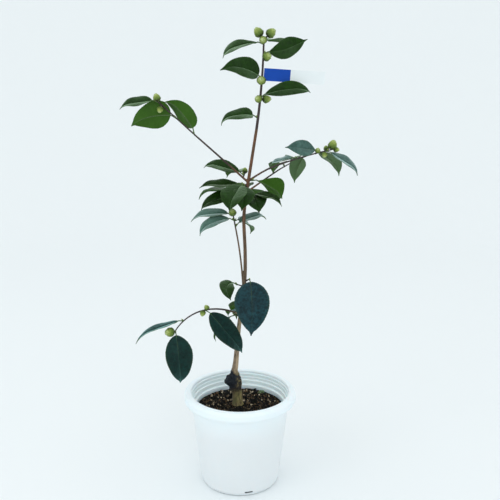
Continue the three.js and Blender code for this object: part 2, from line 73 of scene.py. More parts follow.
Limb = namedtuple("Limb", "start heading rise length bend radii")
Leaf = namedtuple("Leaf", "at heading rise roll length curl width sway lean", defaults=(None, 0, 0.85))
Bud = namedtuple("Bud", "at heading rise reach length")
Spray = namedtuple("Spray", "limb tone leaves buds")

# The sealed stub of the rootstock, which bulges beside the graft
GRAFT_STUB = Limb(168, 195, 28, 15.5, 0, (11, 6.8))

# Boughs start at a height on the trunk
BOUGHS = {
    "leader_bough": Limb(493, 351, 81, 82, 0, (2.5, 2.2)),
    "left_bough": Limb(494, 192, 43, 105, 1, (1.7, 1.3)),
    "right_bough": Limb(496, 10, 34, 38, 9, (1.6, 1.35)),
    "lower_right_bough": Limb(479, 31, 28, 64, 2, (1.5, 1.2)),
    "side_shoot_bough": Limb(320, 150, 88, 104, 11, (1.5, 1.25)),
    "lower_left_bough": Limb(283, 194, 32, 50, 32, (1.6, 1.35)),
}
LIMB_STEPS = 6

# A spray starts on a bough, at a share of its length, or at a height on the trunk
SPRAYS = {
    "foliage_top": Spray(
        Limb(("leader_bough", 1), 354, 82, 131, -7, (2.1, 1.3)), "olive",
        [Leaf(0.12, 196, 14, -34, 57, 52, 26, 0, 0.52), Leaf(0.345, 338, 20, 62, 74, 36, 24, -6, 1.05),
         Leaf(0.54, 202, 36, -62, 64, 6, 35, 46, 0.64), Leaf(0.83, 330, -3, 82, 63, -6, 30, 36, 1.15),
         Leaf(0.93, 184, -1, -32, 61, 34, 25, 0, 1.4), Leaf(0.95, 50, 0, 0, 60, 12)],
        [Bud(0.325, 235, 20, 5.5, 12), Bud(0.325, 355, 8, 10, 13), Bud(0.53, 262, 15, 7.5, 14),
         Bud(0.78, 325, 20, 7.5, 14), Bud(0.975, 262, 0, 8.5, 12), Bud(0.98, 185, 52, 13, 15),
         Bud(0.98, 350, 41, 14, 15)]),
    "foliage_left": Spray(
        Limb(("left_bough", 1), 190, 43, 74, 0, (1.2, 0.9)), "olive",
        [Leaf(0.06, 176, 62, 60, 60, 12, 35, -20, 0.68), Leaf(0.53, 186, 8, 80, 62, 6, 44, -36, 0.66),
         Leaf(1, 172, -7, -34, 54, 4, 23)],
        [Bud(1, 190, 72, 6.5, 12), Bud(0.92, 255, -50, 9, 10)]),
    # The right spray's pale tone is partly a painted reflection of the bright surroundings on its leaves
    "foliage_right": Spray(
        Limb(("right_bough", 1), 7, 20, 100, 9, (1.3, 0.9)), "pale",
        [Leaf(0.44, 158, -14, -12, 45, 8, 25), Leaf(0.57, 124, -46, 26, 48, 12, 26, -16),
         Leaf(0.785, 214, 10, -72, 54, 0, 25, 0, 1), Leaf(0.72, 40, -18, -10, 60, 34),
         Leaf(0.88, 350, -33, 14, 55, -4)],
        [Bud(0.75, 280, 55, 5.5, 9), Bud(0.88, 250, -48, 7, 9), Bud(0.9, 100, 45, 5, 9),
         Bud(0.97, 350, 75, 8, 15), Bud(1, 350, -5, 5, 9)]),
    "foliage_lower_right": Spray(
        Limb(("lower_right_bough", 1), 24, 26, 22, 4, (1.1, 0.8)), "deep",
        [Leaf(0.5, 108, 2, 0, 54, 40), Leaf(1, 78, 12, 0, 50, 34)], [Bud(1, 20, 20, 5, 8)]),
    # The side shoot's pale tone is partly a painted reflection of the bright surroundings on its leaves
    "foliage_side_shoot": Spray(
        Limb(("side_shoot_bough", 1), 150, 78, 20, 0, (1.2, 1)), "misty",
        [Leaf(0.05, 24, 24, 12, 52, 28, 24), Leaf(0.5, 45, -16, 24, 50, 34),
         Leaf(0.55, 204, 4, -18, 58, 46, 27), Leaf(0.9, 176, 4, -20, 64, 24, 25)],
        [Bud(1, 240, 60, 5, 13)]),
    "foliage_bough_foot": Spray(
        Limb(("left_bough", 0.1), 70, 35, 10, 0, (1, 0.8)), "olive",
        [Leaf(0.5, 172, 18, -34, 61, 12, 25), Leaf(0.9, 122, -2, 0, 50, 20)], [Bud(1, 90, 60, 4.5, 9)]),
    "foliage_fork_left": Spray(
        Limb(490, 200, 10, 8, 0, (1.1, 0.8)), "deep", [Leaf(0.8, 194, -6, -17, 61, -18, 27)], []),
    "foliage_fork_low_left": Spray(
        Limb(471, 180, 35, 12, 0, (1.1, 0.8)), "deep",
        [Leaf(0.9, 165, 3, 4, 64, 14), Leaf(0.4, 196, -6, -34, 66, 18, 26)], []),
    "foliage_fork_front": Spray(
        Limb(486, 240, 25, 13, 0, (1.2, 0.9)), "olive",
        [Leaf(1, 246, -14, -4, 53, 34, 42, 0, 1), Leaf(0.7, 268, -18, -8, 47, 32, 32)], []),
    "foliage_fork_right": Spray(
        Limb(496, 350, 12, 6, 0, (1.1, 0.8)), "olive", [Leaf(0.9, 330, -13, -66, 52, 0, 43, 24, 1.9)], []),
    "foliage_fork_low_right": Spray(
        Limb(469, 330, 30, 12, 0, (1.1, 0.8)), "deep",
        [Leaf(1, 315, 2, 14, 55, 10, 19, 0, 0.72), Leaf(0.9, 284, -8, 6, 40, 30, 34)], []),
    "foliage_fork_back": Spray(
        Limb(478, 80, 40, 12, 0, (1.2, 0.9)), "deep",
        [Leaf(0.5, 62, -20, 0, 60, 34), Leaf(1, 100, -4, 0, 58, 36)], []),
    "foliage_low_front": Spray(
        Limb(338, 318, 30, 12, 0, (1.4, 1)), "blue", [Leaf(1, 278, -30, 4, 90, 46, 54, -10)], []),
    "foliage_low_side": Spray(
        Limb(330, 196, 20, 12, 0, (1.2, 0.9)), "olive", [Leaf(1, 212, 10, -14, 42, 44, 25, 112)], []),
    "foliage_low_left": Spray(
        Limb(281, 165, 10, 8, 0, (1.1, 0.8)), "blue",
        [Leaf(0.9, 112, -4, 0, 34, 30), Leaf(1, 184, -38, 4, 50, 22)], []),
    "foliage_low_back": Spray(
        Limb(300, 75, 10, 12, 0, (1.2, 0.9)), "blue",
        [Leaf(0.6, 104, -24, 0, 62, 26), Leaf(1, 62, -12, 0, 66, 40)], []),
    "foliage_lower_left": Spray(
        Limb(("lower_left_bough", 1), 194, 0, 72, 62, (1.3, 0.9)), "teal",
        [Leaf(0.12, 341, -46, 52, 86, 2, 36, 0, 0.8), Leaf(0.64, 188, -18, 0, 77, 2, 24),
         Leaf(0.93, 284, -44, 0, 80, 36, 44, 2)],
        [Bud(0.06, 200, 60, 4.5, 9), Bud(0.16, 250, -50, 5, 10), Bud(0.94, 215, 5, 10, 16)]),
}

# A leaf's rule: its width as a share of its length, its fold and the hook of its tip in degrees, each with
# its spread, and its stalk, in mm and degrees
LEAF_WIDTH_SHARE = 0.52
LEAF_STATIONS = (0, 0.05, 0.15, 0.32, 0.5, 0.68, 0.82, 0.91, 1)
LEAF_OUTLINE = {"body_end": 0.93, "fullness": 0.78, "tip_taper": 1.4, "tip_width": 0.18, "point": 0.03}
LEAF_FOLD = (16, 5)
LEAF_HOOK = (40, 14)
HOOK_FROM = 0.68
STALK_LENGTH = 9
STALK_LIFT = 20
STALK_STEEPEST = 80

SEED = 4711


class Dice:
    """The seeded generator that the sprays take their unevenness from"""

    FACTOR, MODULUS = 16807, 2147483647

    def __init__(self, seed):
        self.state = seed

    def roll(self, spread):
        self.state = self.state * self.FACTOR % self.MODULUS
        return (self.state / self.MODULUS - 0.5) * 2 * spread


def direction(heading, rise):
    """The unit vector of a heading and a rise"""
    h, r = math.radians(heading), math.radians(rise)
    return Vector((math.cos(r) * math.cos(h), math.cos(r) * math.sin(h), math.sin(r)))


def grow_axis(start, limb):
    """The points of a growing limb, which bends down evenly along its length"""
    points = [start.copy()]
    for i in range(LIMB_STEPS):
        rise = limb.rise - limb.bend * (i + 0.5) / LIMB_STEPS
        points.append(points[-1] + direction(limb.heading, rise) * (limb.length / LIMB_STEPS))
    return points


def point_along(points, share):
    """The point at a share of a path's length, which has even steps"""
    place = share * (len(points) - 1)
    i = min(int(place), len(points) - 2)
    return points[i].lerp(points[i + 1], place - i)


def trunk_point(height):
    """The trunk's centre at a height"""
    for low, high in zip(TRUNK, TRUNK[1:]):
        if high[2] >= height:
            return Vector(low[:3]).lerp(Vector(high[:3]), (height - low[2]) / (high[2] - low[2]))
    return Vector(TRUNK[-1][:3])


def limb_start(limb, axes):
    """Where a spray's limb starts, on its bough or on the trunk"""
    if isinstance(limb.start, tuple):
        bough, share = limb.start
        return point_along(axes[bough], share)
    return trunk_point(limb.start)


def leaf_rib(node, leaf, hook):
    """The middle line of a leaf: its stalk's way, and its blade's points with their sides and ways"""
    way = direction(leaf.heading, leaf.rise)
    side = Quaternion(way, math.radians(leaf.roll)) @ direction(leaf.heading - 90, 0)
    stalk_way = direction(leaf.heading, min(leaf.rise + STALK_LIFT, STALK_STEEPEST))
    points, sides, ways = [node + stalk_way * STALK_LENGTH], [side.copy()], [way.copy()]
    for start, end in zip(LEAF_STATIONS, LEAF_STATIONS[1:]):
        span = end - start
        hooked = hook * span / (1 - HOOK_FROM) if end > HOOK_FROM else 0
        turn = Quaternion(side.cross(way), math.radians(leaf.sway * span))
        way, side = turn @ way, turn @ side
        way = Quaternion(side, -math.radians(leaf.curl * span + hooked)) @ way
        points.append(points[-1] + way * (leaf.length * span))
        sides.append(side.copy())
        ways.append(way.copy())
    return {"points": points, "sides": sides, "ways": ways, "stalk_way": stalk_way}


def grow_plant():
    """Every limb, leaf and bud of the plant, by the source's rule"""
    axes = {name: grow_axis(trunk_point(limb.start), limb) for name, limb in BOUGHS.items()}
    dice = Dice(SEED)
    leaves, buds = [], []
    for name, spray in SPRAYS.items():
        axes[name] = grow_axis(limb_start(spray.limb, axes), spray.limb)
        for leaf in spray.leaves:
            fold = LEAF_FOLD[0] + dice.roll(LEAF_FOLD[1])
            hook = LEAF_HOOK[0] + dice.roll(LEAF_HOOK[1])
            node = point_along(axes[name], leaf.at)
            width = leaf.width or leaf.length * LEAF_WIDTH_SHARE
            leaves.append({"tone": spray.tone, "node": node, "leaf": leaf, "width": width,
                           "fold": math.radians(fold), **leaf_rib(node, leaf, hook)})
        for bud in spray.buds:
            buds.append({"node": point_along(axes[name], bud.at), "bud": bud,
                         "way": direction(bud.heading, bud.rise)})
    return axes, leaves, buds


AXES, LEAVES, BUDS = grow_plant()


VECTOR_KINDS = ("VECTOR", "RGBA")


class Term:
    """A value in a node tree. Arithmetic with it adds the maths nodes."""

    def __init__(self, sketch, socket):
        self.sketch, self.socket = sketch, socket

    def is_vector(self):
        return self.socket.type in VECTOR_KINDS

    def other(self, name):
        """Another output of the same node"""
        outputs = [socket for socket in self.socket.node.outputs if socket.enabled and socket.name == name]
        return Term(self.sketch, outputs[0])

    def maths(self, operation, *others, **settings):
        kind = "ShaderNodeVectorMath" if self.is_vector() else "ShaderNodeMath"
        return self.sketch.add(kind, self, *others, operation=operation, **settings)

    def part(self, axis):
        return self.sketch.add("ShaderNodeSeparateXYZ", self).other(axis)

    def at_least(self, low):
        return self.maths("MAXIMUM", low)

    def at_most(self, high):
        return self.maths("MINIMUM", high)

    def __abs__(self):
        return self.maths("ABSOLUTE")

    def __add__(self, other):
        return self.maths("ADD", other)

    def __sub__(self, other):
        return self.maths("SUBTRACT", other)

    def __rsub__(self, other):
        return self.maths("MULTIPLY", -1.0).maths("ADD", other)

    def __mul__(self, other):
        if self.is_vector() and not isinstance(other, tuple):
            if not (isinstance(other, Term) and other.is_vector()):
                return self.maths("SCALE", other)
        return self.maths("MULTIPLY", other)

    def __truediv__(self, other):
        return self.maths("DIVIDE", other)

    def __pow__(self, other):
        return self.maths("POWER", other)

    __radd__ = __add__
    __rmul__ = __mul__


class Sketch:
    """Draws a node tree: each call adds one node and returns what comes out of it"""

    SOCKETS = {float: "NodeSocketFloat", int: "NodeSocketInt", str: "NodeSocketMaterial"}

    def __init__(self, tree):
        self.tree = tree

    @classmethod
    def geometry(cls, name, **inputs):
        """A geometry tree with its named inputs. The word material stands for a material's socket."""
        tree = bpy.data.node_groups.new(name, "GeometryNodeTree")
        tree.interface.new_socket("Geometry", in_out="INPUT", socket_type="NodeSocketGeometry")
        tree.interface.new_socket("Geometry", in_out="OUTPUT", socket_type="NodeSocketGeometry")
        for key, value in inputs.items():
            socket = tree.interface.new_socket(key, in_out="INPUT", socket_type=cls.SOCKETS[type(value)])
            if not isinstance(value, str):
                socket.default_value = value
        sketch = cls(tree)
        sketch.entry = tree.nodes.new("NodeGroupInput")
        return sketch

    def given(self, name):
        return Term(self, self.entry.outputs[name])

    def add(self, kind, *values, **settings):
        """A node with these settings. Its open inputs take the values in order, and None skips one."""
        node = self.tree.nodes.new(kind)
        for name, value in settings.items():
            setattr(node, name, value)
        sockets = [socket for socket in node.inputs if socket.enabled]
        for socket, value in zip(sockets, values):
            self.fill(socket, value)
        return Term(self, next(socket for socket in node.outputs if socket.enabled))

    def fill(self, socket, value):
        if isinstance(value, Term):
            self.tree.links.new(value.socket, socket)
        elif value is not None:
            socket.default_value = value

    def attribute(self, name, data_type="FLOAT"):
        return self.add("GeometryNodeInputNamedAttribute", name, data_type=data_type)

    def store(self, geometry, name, value, data_type="FLOAT", domain="POINT"):
        return self.add("GeometryNodeStoreNamedAttribute", geometry, None, name, value,
                        data_type=data_type, domain=domain)

    def random(self, low, high, seed, vector=False):
        kind = "FLOAT_VECTOR" if vector else "FLOAT"
        return self.add("FunctionNodeRandomValue", low, high, None, seed, data_type=kind)

    def place(self):
        return self.add("GeometryNodeInputPosition")

    def moved(self, geometry, offset):
        return self.add("GeometryNodeSetPosition", geometry, None, None, offset)

    def set_out(self, geometry, place):
        return self.add("GeometryNodeSetPosition", geometry, None, place)

    def noise(self, place, scale, detail=2.0, roughness=0.5):
        return self.add("ShaderNodeTexNoise", place, scale, detail, roughness)

    def sheets(self, count, number, cells_across, cells_along, mapped=False):
        """Numbered flat sheets for a tree to shape, each with the place of its points kept as flat"""
        sheet = self.add("GeometryNodeMeshGrid", 1.0, 1.0, cells_across + 1.0, cells_along + 1.0)
        uv = sheet.other("UV Map")
        sheet = self.store(sheet, "flat", self.place(), "FLOAT_VECTOR")
        if mapped:
            sheet = self.store(sheet, "UVMap", uv, "FLOAT2", "CORNER")
        points = self.add("GeometryNodePoints", count)
        copies = self.add("GeometryNodeInstanceOnPoints", points, None, sheet)
        copies = self.store(copies, number, self.add("GeometryNodeInputIndex"), "INT", "INSTANCE")
        return self.add("GeometryNodeRealizeInstances", copies)

    def finish(self, geometry):
        """Ends a geometry tree: real faces with smooth shading and the given material"""
        solid = self.add("GeometryNodeRealizeInstances", geometry)
        smooth = self.add("GeometryNodeSetShadeSmooth", solid)
        painted = self.add("GeometryNodeSetMaterial", smooth, None, self.given("Material"))
        ending = self.tree.nodes.new("NodeGroupOutput")
        self.tree.links.new(painted.socket, ending.inputs["Geometry"])
        return self.tree


def new_object(name, data):
    piece = bpy.data.objects.new(name, data)
    bpy.context.scene.collection.objects.link(piece)
    return piece


def settle(piece):
    """Turns a piece's modifiers into its mesh"""
    bpy.context.view_layer.update()
    evaluated = piece.evaluated_get(bpy.context.evaluated_depsgraph_get())
    mesh = bpy.data.meshes.new_from_object(evaluated)
    rough = piece.data
    piece.modifiers.clear()
    piece.data = mesh
    bpy.data.meshes.remove(rough)
    mesh.name = piece.name
    return piece


def grown(piece, tree, **values):
    """Runs a geometry tree on a piece and keeps the plain mesh that comes out"""
    modifier = piece.modifiers.new(tree.name, "NODES")
    modifier.node_group = tree
    for socket in tree.interface.items_tree:
        if socket.in_out == "INPUT" and socket.name in values:
            modifier[socket.identifier] = values[socket.name]
    return settle(piece)


def store_points(mesh, key, values):
    """Keeps a value at each point of a mesh, either a number or a vector"""
    if isinstance(values[0], Vector):
        layer = mesh.attributes.new(key, "FLOAT_VECTOR", "POINT")
        layer.data.foreach_set("vector", [number for value in values for number in value])
    else:
        layer = mesh.attributes.new(key, "FLOAT", "POINT")
        layer.data.foreach_set("value", values)


def path_object(name, paths):
    """A mesh of open paths for a tree to follow. Each has its points, in mm, and values at each point."""
    points = [point * MM for path in paths for point in path["points"]]
    edges, start = [], 0
    for path in paths:
        count = len(path["points"])
        edges += [(start + i, start + i + 1) for i in range(count - 1)]
        start += count
    mesh = bpy.data.meshes.new(name)
    mesh.from_pydata(points, edges, [])
    for key in [key for key in paths[0] if key != "points"]:
        store_points(mesh, key, [value for path in paths for value in path[key]])
    return new_object(name, mesh)


def thicken(piece, thickness, offset=-1, **settings):
    """Gives a sheet its thickness, inwards unless the offset says otherwise"""
    modifier = piece.modifiers.new("thickness", "SOLIDIFY")
    modifier.thickness, modifier.offset = thickness, offset
    for name, value in settings.items():
        setattr(modifier, name, value)
    return settle(piece)


def finish_piece(piece, slot, *nodes):
    """The frame calls that every finished piece gets"""
    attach(piece, BODY)
    if nodes:
        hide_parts(*nodes)
    return piece


def times(colour, factor):
    """A colour made lighter or darker"""
    return tuple(factor * c for c in colour)


def opaque(value):
    """A colour with its alpha. A number or a term stays as it is."""
    return value if isinstance(value, (Term, float, int)) else (*value, 1)


class Finish:
    """A material with one shader, whose sockets are filled by name"""

    def __init__(self, name, **sockets):
        self.material = bpy.data.materials.new(name)
        self.material.use_nodes = True
        self.sketch = Sketch(self.material.node_tree)
        self.shader = self.material.node_tree.nodes["Principled BSDF"]
        self.fill(**sockets)

    def fill(self, **sockets):
        for key, value in sockets.items():
            name = key.replace("_", " ")
            self.sketch.fill(self.shader.inputs[name], value if "Radius" in name else opaque(value))

    def place(self):
        return self.sketch.add("ShaderNodeTexCoord").other("Object")

    def stretched(self, scale):
        return self.sketch.add("ShaderNodeMapping", self.place(), None, None, scale)

    def speckle(self, scale, detail=3.0, roughness=0.55, stretch=None):
        """Noise that can be drawn out along an axis"""
        place = self.stretched(stretch) if stretch else self.place()
        return self.sketch.noise(place, scale, detail, roughness)

    def attribute(self, name):
        """A number kept on the mesh by the piece's tree"""
        return self.sketch.add("ShaderNodeAttribute", attribute_name=name).other("Fac")

    def spread(self, value, low, high, to_low=0.0, to_high=1.0):
        """Carries a value from one range over to another and keeps it there"""
        return self.sketch.add("ShaderNodeMapRange", value, low, high, to_low, to_high)

    def mix(self, share, first, second):
        """A colour between two, each a colour or a term"""
        node = self.sketch.tree.nodes.new("ShaderNodeMix")
        node.data_type = "RGBA"
        for index, value in ((0, share), (6, first), (7, second)):
            self.sketch.fill(node.inputs[index], opaque(value))
        return Term(self.sketch, node.outputs[2])

    def ramp(self, value, *stops):
        """A colour from stops of a place and a colour"""
        node = self.sketch.tree.nodes.new("ShaderNodeValToRGB")
        elements = node.color_ramp.elements
        while len(elements) < len(stops):
            elements.new(0.5)
        for element, (place, colour) in zip(elements, stops):
            element.position = place
            element.color = opaque(colour)
        self.sketch.fill(node.inputs[0], value)
        return Term(self.sketch, node.outputs[0])

    def bump(self, height, strength, distance):
        node = self.sketch.tree.nodes.new("ShaderNodeBump")
        node.inputs["Strength"].default_value = strength
        node.inputs["Distance"].default_value = distance
        self.sketch.fill(node.inputs["Height"], height)
        self.sketch.tree.links.new(node.outputs["Normal"], self.shader.inputs["Normal"])


def lathe_mesh(name, outline, sides):
    """A closed outline of radii and heights, in mm, turned round +Z. It starts and ends on the axis."""
    verts, faces = [Vector((0, 0, outline[0][1]))], []
    for radius, height in outline[1:-1]:
        for k in range(sides):
            turn = 2 * math.pi * k / sides
            verts.append(Vector((radius * math.cos(turn), radius * math.sin(turn), height)))
    verts.append(Vector((0, 0, outline[-1][1])))
    rings = len(outline) - 2
    for k in range(sides):
        after = (k + 1) % sides
        faces.append((0, 1 + after, 1 + k))
        for i in range(rings - 1):
            low, high = 1 + i * sides, 1 + (i + 1) * sides
            faces.append((low + k, low + after, high + after, high + k))
        top = 1 + (rings - 1) * sides
        faces.append((top + k, top + after, len(verts) - 1))
    mesh = bpy.data.meshes.new(name)
    mesh.from_pydata([vert * MM for vert in verts], [], faces)
    mesh.shade_smooth()
    return mesh


CORNER_CUTS = 4
SHORTEST_RUN = 1e-6


def rounded(outline, radius, step):
    """An outline with its corners turned into short curves and its long runs cut into steps"""
    points = [Vector(point) for point in outline]
    turned = [points[0]]
    for before, corner, after in zip(points, points[1:], points[2:]):
        reach_in = min(radius, (before - corner).length / 2)
        reach_out = min(radius, (after - corner).length / 2)
        start = corner + (before - corner).normalized() * reach_in
        end = corner + (after - corner).normalized() * reach_out
        for k in range(CORNER_CUTS + 1):
            share = k / CORNER_CUTS
            turned.append(start.lerp(corner, share).lerp(corner.lerp(end, share), share))
    turned.append(points[-1])
    fine = [turned[0]]
    for point in turned[1:]:
        length = (point - fine[-1]).length
        if length < SHORTEST_RUN:
            continue
        cuts = max(math.ceil(length / step), 1)
        start = fine[-1]
        fine += [start.lerp(point, (k + 1) / cuts) for k in range(cuts)]
    return [(max(point.x, 0), point.y) for point in fine]


def number_setting(name, description, default):
    return FloatProperty(name=name, description=description, default=default)


def length_setting(name, description, default):
    return FloatProperty(name=name, description=description, default=default, unit="LENGTH")


def count_setting(name, description, default, least):
    return IntProperty(name=name, description=description, default=default, min=least)


def colour_setting(name, description, default):
    return FloatVectorProperty(name=name, description=description, default=default, subtype="COLOR")


class PotSettings(bpy.types.PropertyGroup):
    """The pot's sizes and colours"""

    sides: count_setting("Sides", "Faces round the pot", 160, 32)
    wall: length_setting("Wall", "Thickness of the plastic", 0.002)
    foot_rounding: length_setting("Foot rounding", "Radius of the rounded foot", 0.006)
    colour: colour_setting("Plastic", "Colour of the plastic", (0.85, 0.915, 0.95))
    # Painted light: a brighter white for the light that shines through the plastic inside the mouth
    mouth: colour_setting("Mouth", "Colour inside the mouth", (0.87, 0.98, 1.0))


class SoilSettings(bpy.types.PropertyGroup):
    """What the potting mix is made of"""

    crumbs: number_setting("Crumbs", "Crumbs on a square metre of soil", 90000.0)
    crumb_size: length_setting("Crumb size", "Half the width of a common crumb", 0.0019)
    chips: number_setting("Chips", "Pale chips on a square metre of soil", 26000.0)
    seed: count_setting("Seed", "Which scatter of crumbs", 7, 0)
    dark: colour_setting("Dark crumbs", "Colour of the damp crumbs", (0.003, 0.0026, 0.0016))
    light: colour_setting("Light crumbs", "Colour of the dry bark", (0.085, 0.06, 0.032))


class LeafSettings(bpy.types.PropertyGroup):
    """The leaves' detail and colours"""

    cells_along: count_setting("Cells along", "Faces along a blade", 72, 8)
    cells_across: count_setting("Cells across", "Faces across a blade", 20, 4)
    thickness: length_setting("Thickness", "Thickness of a blade", 0.0005)
    teeth: number_setting("Teeth", "Teeth along each margin", 24.0)
    tooth_depth: length_setting("Tooth depth", "How far the teeth stand out", 0.0006)
    vein_relief: length_setting("Vein relief", "How deep the veins lie in the blade", 0.00045)
    margin_wave: length_setting("Margin wave", "How far the margin waves up and down", 0.0009)
    olive: colour_setting("Upper leaves", "Upper face in the crown", (0.008, 0.035, 0.001))
    deep: colour_setting("Fork leaves", "Upper face at the fork", (0.008, 0.029, 0.002))
    # The right leaves' upper face is their own green, lightened and blued by a painted reflection of the
    # bright surroundings
    pale: colour_setting("Right leaves", "Upper face at the right", (0.055, 0.12, 0.1))
    blue: colour_setting("Low leaves", "Upper face low down", (0.009, 0.042, 0.052))
    teal: colour_setting("Low left leaves", "Upper face at the low left", (0.001, 0.019, 0.015))
    # The side shoot's upper face is its own green, lightened and blued by a painted reflection of the bright
    # surroundings
    misty: colour_setting("Side shoot's leaves", "Upper face on the side shoot", (0.085, 0.17, 0.135))
    under: colour_setting("Underside", "Lower face of the leaves", (0.036, 0.1, 0.01))
    pale_under: colour_setting("Pale underside", "Lower face of the palest leaves", (0.085, 0.15, 0.065))
    vein: colour_setting("Veins", "Colour of the midribs and stalks", (0.075, 0.145, 0.04))


class BarkSettings(bpy.types.PropertyGroup):
    """The bark's relief and colours"""

    voxel: length_setting("Fineness", "Size of the faces where limbs grow together", 0.0006)
    relief: length_setting("Relief", "Depth of the bark's wrinkles", 0.00035)
    root: colour_setting("Rootstock", "Bark below the graft", (0.27, 0.22, 0.085))
    moss: colour_setting("Green bloom", "Green on the rootstock", (0.085, 0.105, 0.035))
    stem: colour_setting("Stem", "Bark of the lower stem", (0.23, 0.17, 0.11))
    shoot: colour_setting("Young shoots", "Bark of the leader", (0.16, 0.07, 0.035))
    twig: colour_setting("Twigs", "Bark of the thin twigs", (0.035, 0.024, 0.024))
    sealed: colour_setting("Sealed cut", "Paint on the cut stub", (0.006, 0.009, 0.014))


class BudSettings(bpy.types.PropertyGroup):
    """The flower buds' scales and colours"""

    scales: count_setting("Scales", "Scales round a bud", 11, 3)
    cells: count_setting("Cells", "Faces along each scale", 6, 3)
    thickness: length_setting("Thickness", "Thickness of a scale", 0.00025)
    scale: colour_setting("Scale", "Colour of the scales", (0.42, 0.52, 0.12))
    margin: colour_setting("Scale margin", "Colour at the scales' rims", (0.14, 0.2, 0.035))


class LabelSettings(bpy.types.PropertyGroup):
    """The blank plant label"""

    thickness: length_setting("Thickness", "Thickness of the label", 0.0005)
    blue_length: length_setting("Blue part", "Length of the blue part beside the stem", 0.039)
    blue: colour_setting("Blue", "Colour beside the stem", (0.0, 0.06, 0.4))
    white: colour_setting("White", "Colour of the outer part", (0.85, 0.89, 0.9))


class StageSettings(bpy.types.PropertyGroup):
    """The camera, floor and light"""

    lens: number_setting("Lens", "Focal length on a 36 mm sensor, in mm", 57.6)
    camera_place: FloatVectorProperty(
        name="Camera", description="Where the camera stands", subtype="TRANSLATION", unit="LENGTH",
        default=(0.0161, -1.1898, 0.703))
    camera_pitch: FloatProperty(
        name="Pitch", description="How far the camera looks down", subtype="ANGLE",
        default=math.radians(14.8))
    floor: colour_setting("Floor", "Colour of the floor", (0.85, 0.87, 0.875))
    sky: colour_setting("Sky", "Colour of the soft light", (0.93, 0.98, 1.0))
    sky_strength: number_setting("Sky strength", "Strength of the light from all round", 1.03)


class CamelliaSettings(bpy.types.PropertyGroup):
    """All the settings of the potted camellia"""

    pot: PointerProperty(type=PotSettings)
    soil: PointerProperty(type=SoilSettings)
    leaf: PointerProperty(type=LeafSettings)
    bark: PointerProperty(type=BarkSettings)
    bud: PointerProperty(type=BudSettings)
    label: PointerProperty(type=LabelSettings)
    stage: PointerProperty(type=StageSettings)


POT_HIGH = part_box("pot")[1]
SOIL_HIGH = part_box("soil")[1]

# The pot's outline, in mm: its height and rim come from the frame, and the rest is set out from them
POT_HEIGHT = POT_HIGH.z / MM
RIM_RADIUS = POT_HIGH.x / MM
MOUTH_RADIUS = RIM_RADIUS - 12
NECK_RADIUS = RIM_RADIUS - 11
BASE_RADIUS = RIM_RADIUS - 27.5
NECK_HEIGHT = POT_HEIGHT - 16
FLOOR_THICKNESS = 3.5
THICK_FROM = 100
SOIL_RADIUS = 71
SOIL_TOP = SOIL_HIGH.z / MM
# Each ring inside the mouth: how far in it stands, and how far below the top it ends
RINGS = ((0, 5), (1.5, 10.5), (2.5, 16), (4.5, 22.5))
RING_TOP = 3
RING_FOOT = 24
DRAIN_SLOTS = {"count": 4, "first": -77, "width": 13, "depth": 24, "low": 6, "high": 9}
CORNER_RADIUS = 1.0
LONGEST_RUN = 4.0
# The painted light inside the mouth, a brighter white for light that shines through the plastic, starts this
# far inside the mouth's radius and ends this far below the lowest ring
MOUTH_LIGHT_FROM = (0.3, 1.2)
MOUTH_LIGHT_FOOT = (1.5, 0.5)
SHARP_EDGE = math.radians(40)


def wall_radius(height):
    """The outer radius of the tapered wall at a height"""
    return BASE_RADIUS + (NECK_RADIUS - BASE_RADIUS) * height / NECK_HEIGHT


def pot_outline(wall, rounding):
    """The pot's section, from its middle underneath, over the rim and down to its floor"""
    foot = []
    for turn in range(0, 91, 15):
        out = BASE_RADIUS - rounding * (1 - math.sin(math.radians(turn)))
        foot.append((out, rounding * (1 - math.cos(math.radians(turn)))))
    lip = [
        (NECK_RADIUS, NECK_HEIGHT), (RIM_RADIUS - 1.6, NECK_HEIGHT), (RIM_RADIUS, NECK_HEIGHT + 4),
        (RIM_RADIUS - 0.4, POT_HEIGHT - 5), (RIM_RADIUS - 3, POT_HEIGHT - 0.8), (RIM_RADIUS - 7, POT_HEIGHT),
        (MOUTH_RADIUS + 1.4, POT_HEIGHT - 0.1), (MOUTH_RADIUS, POT_HEIGHT - 1.6),
    ]
    rings, depth = [], RING_TOP
    for inset, below in RINGS:
        rings += [(MOUTH_RADIUS - inset, POT_HEIGHT - depth), (MOUTH_RADIUS - inset, POT_HEIGHT - below)]
        depth = below
    inside = [(SOIL_RADIUS, POT_HEIGHT - RING_FOOT), (wall_radius(THICK_FROM) - wall, THICK_FROM),
              (wall_radius(FLOOR_THICKNESS) - wall, FLOOR_THICKNESS), (0, FLOOR_THICKNESS)]
    return [(0, 0), *foot, (wall_radius(rounding), rounding), *lip, *rings, *inside]


def pot_plastic(colour, inner):
    """White plastic that light sinks into a little, and a brighter, cooler white inside the mouth that
    paints in the light shining through its walls
    """
    finish = Finish("moulded_white_plastic", Roughness=0.42, IOR=1.5, Subsurface_Weight=0.4,
                    Subsurface_Radius=(0.7, 0.9, 1.0), Subsurface_Scale=0.008)
    clouds = finish.speckle(9.0, 2.0)
    outer = finish.mix(clouds, colour, times(colour, 0.965))
    apart = (finish.place() * (1.0, 1.0, 0.0)).maths("LENGTH").other("Value")
    inside = finish.spread(apart, *[(MOUTH_RADIUS - depth) * MM for depth in MOUTH_LIGHT_FROM])
    ring_foot = POT_HEIGHT - RING_FOOT
    above = finish.spread(finish.place().part("Z"), *[(ring_foot - depth) * MM for depth in MOUTH_LIGHT_FOOT])
    # Painted light: the mouth's inner walls take the brighter white where light would shine through the
    # plastic
    mouth = inside * above
    finish.fill(Base_Color=finish.mix(mouth, outer, inner))
    drawn = finish.speckle(300.0, 2.0, 0.5, (1, 1, 0.08))
    finish.fill(Roughness=finish.spread(drawn, 0.3, 0.7, 0.36, 0.48))
    finish.bump(drawn, 0.08, 0.0002)
    return finish.material


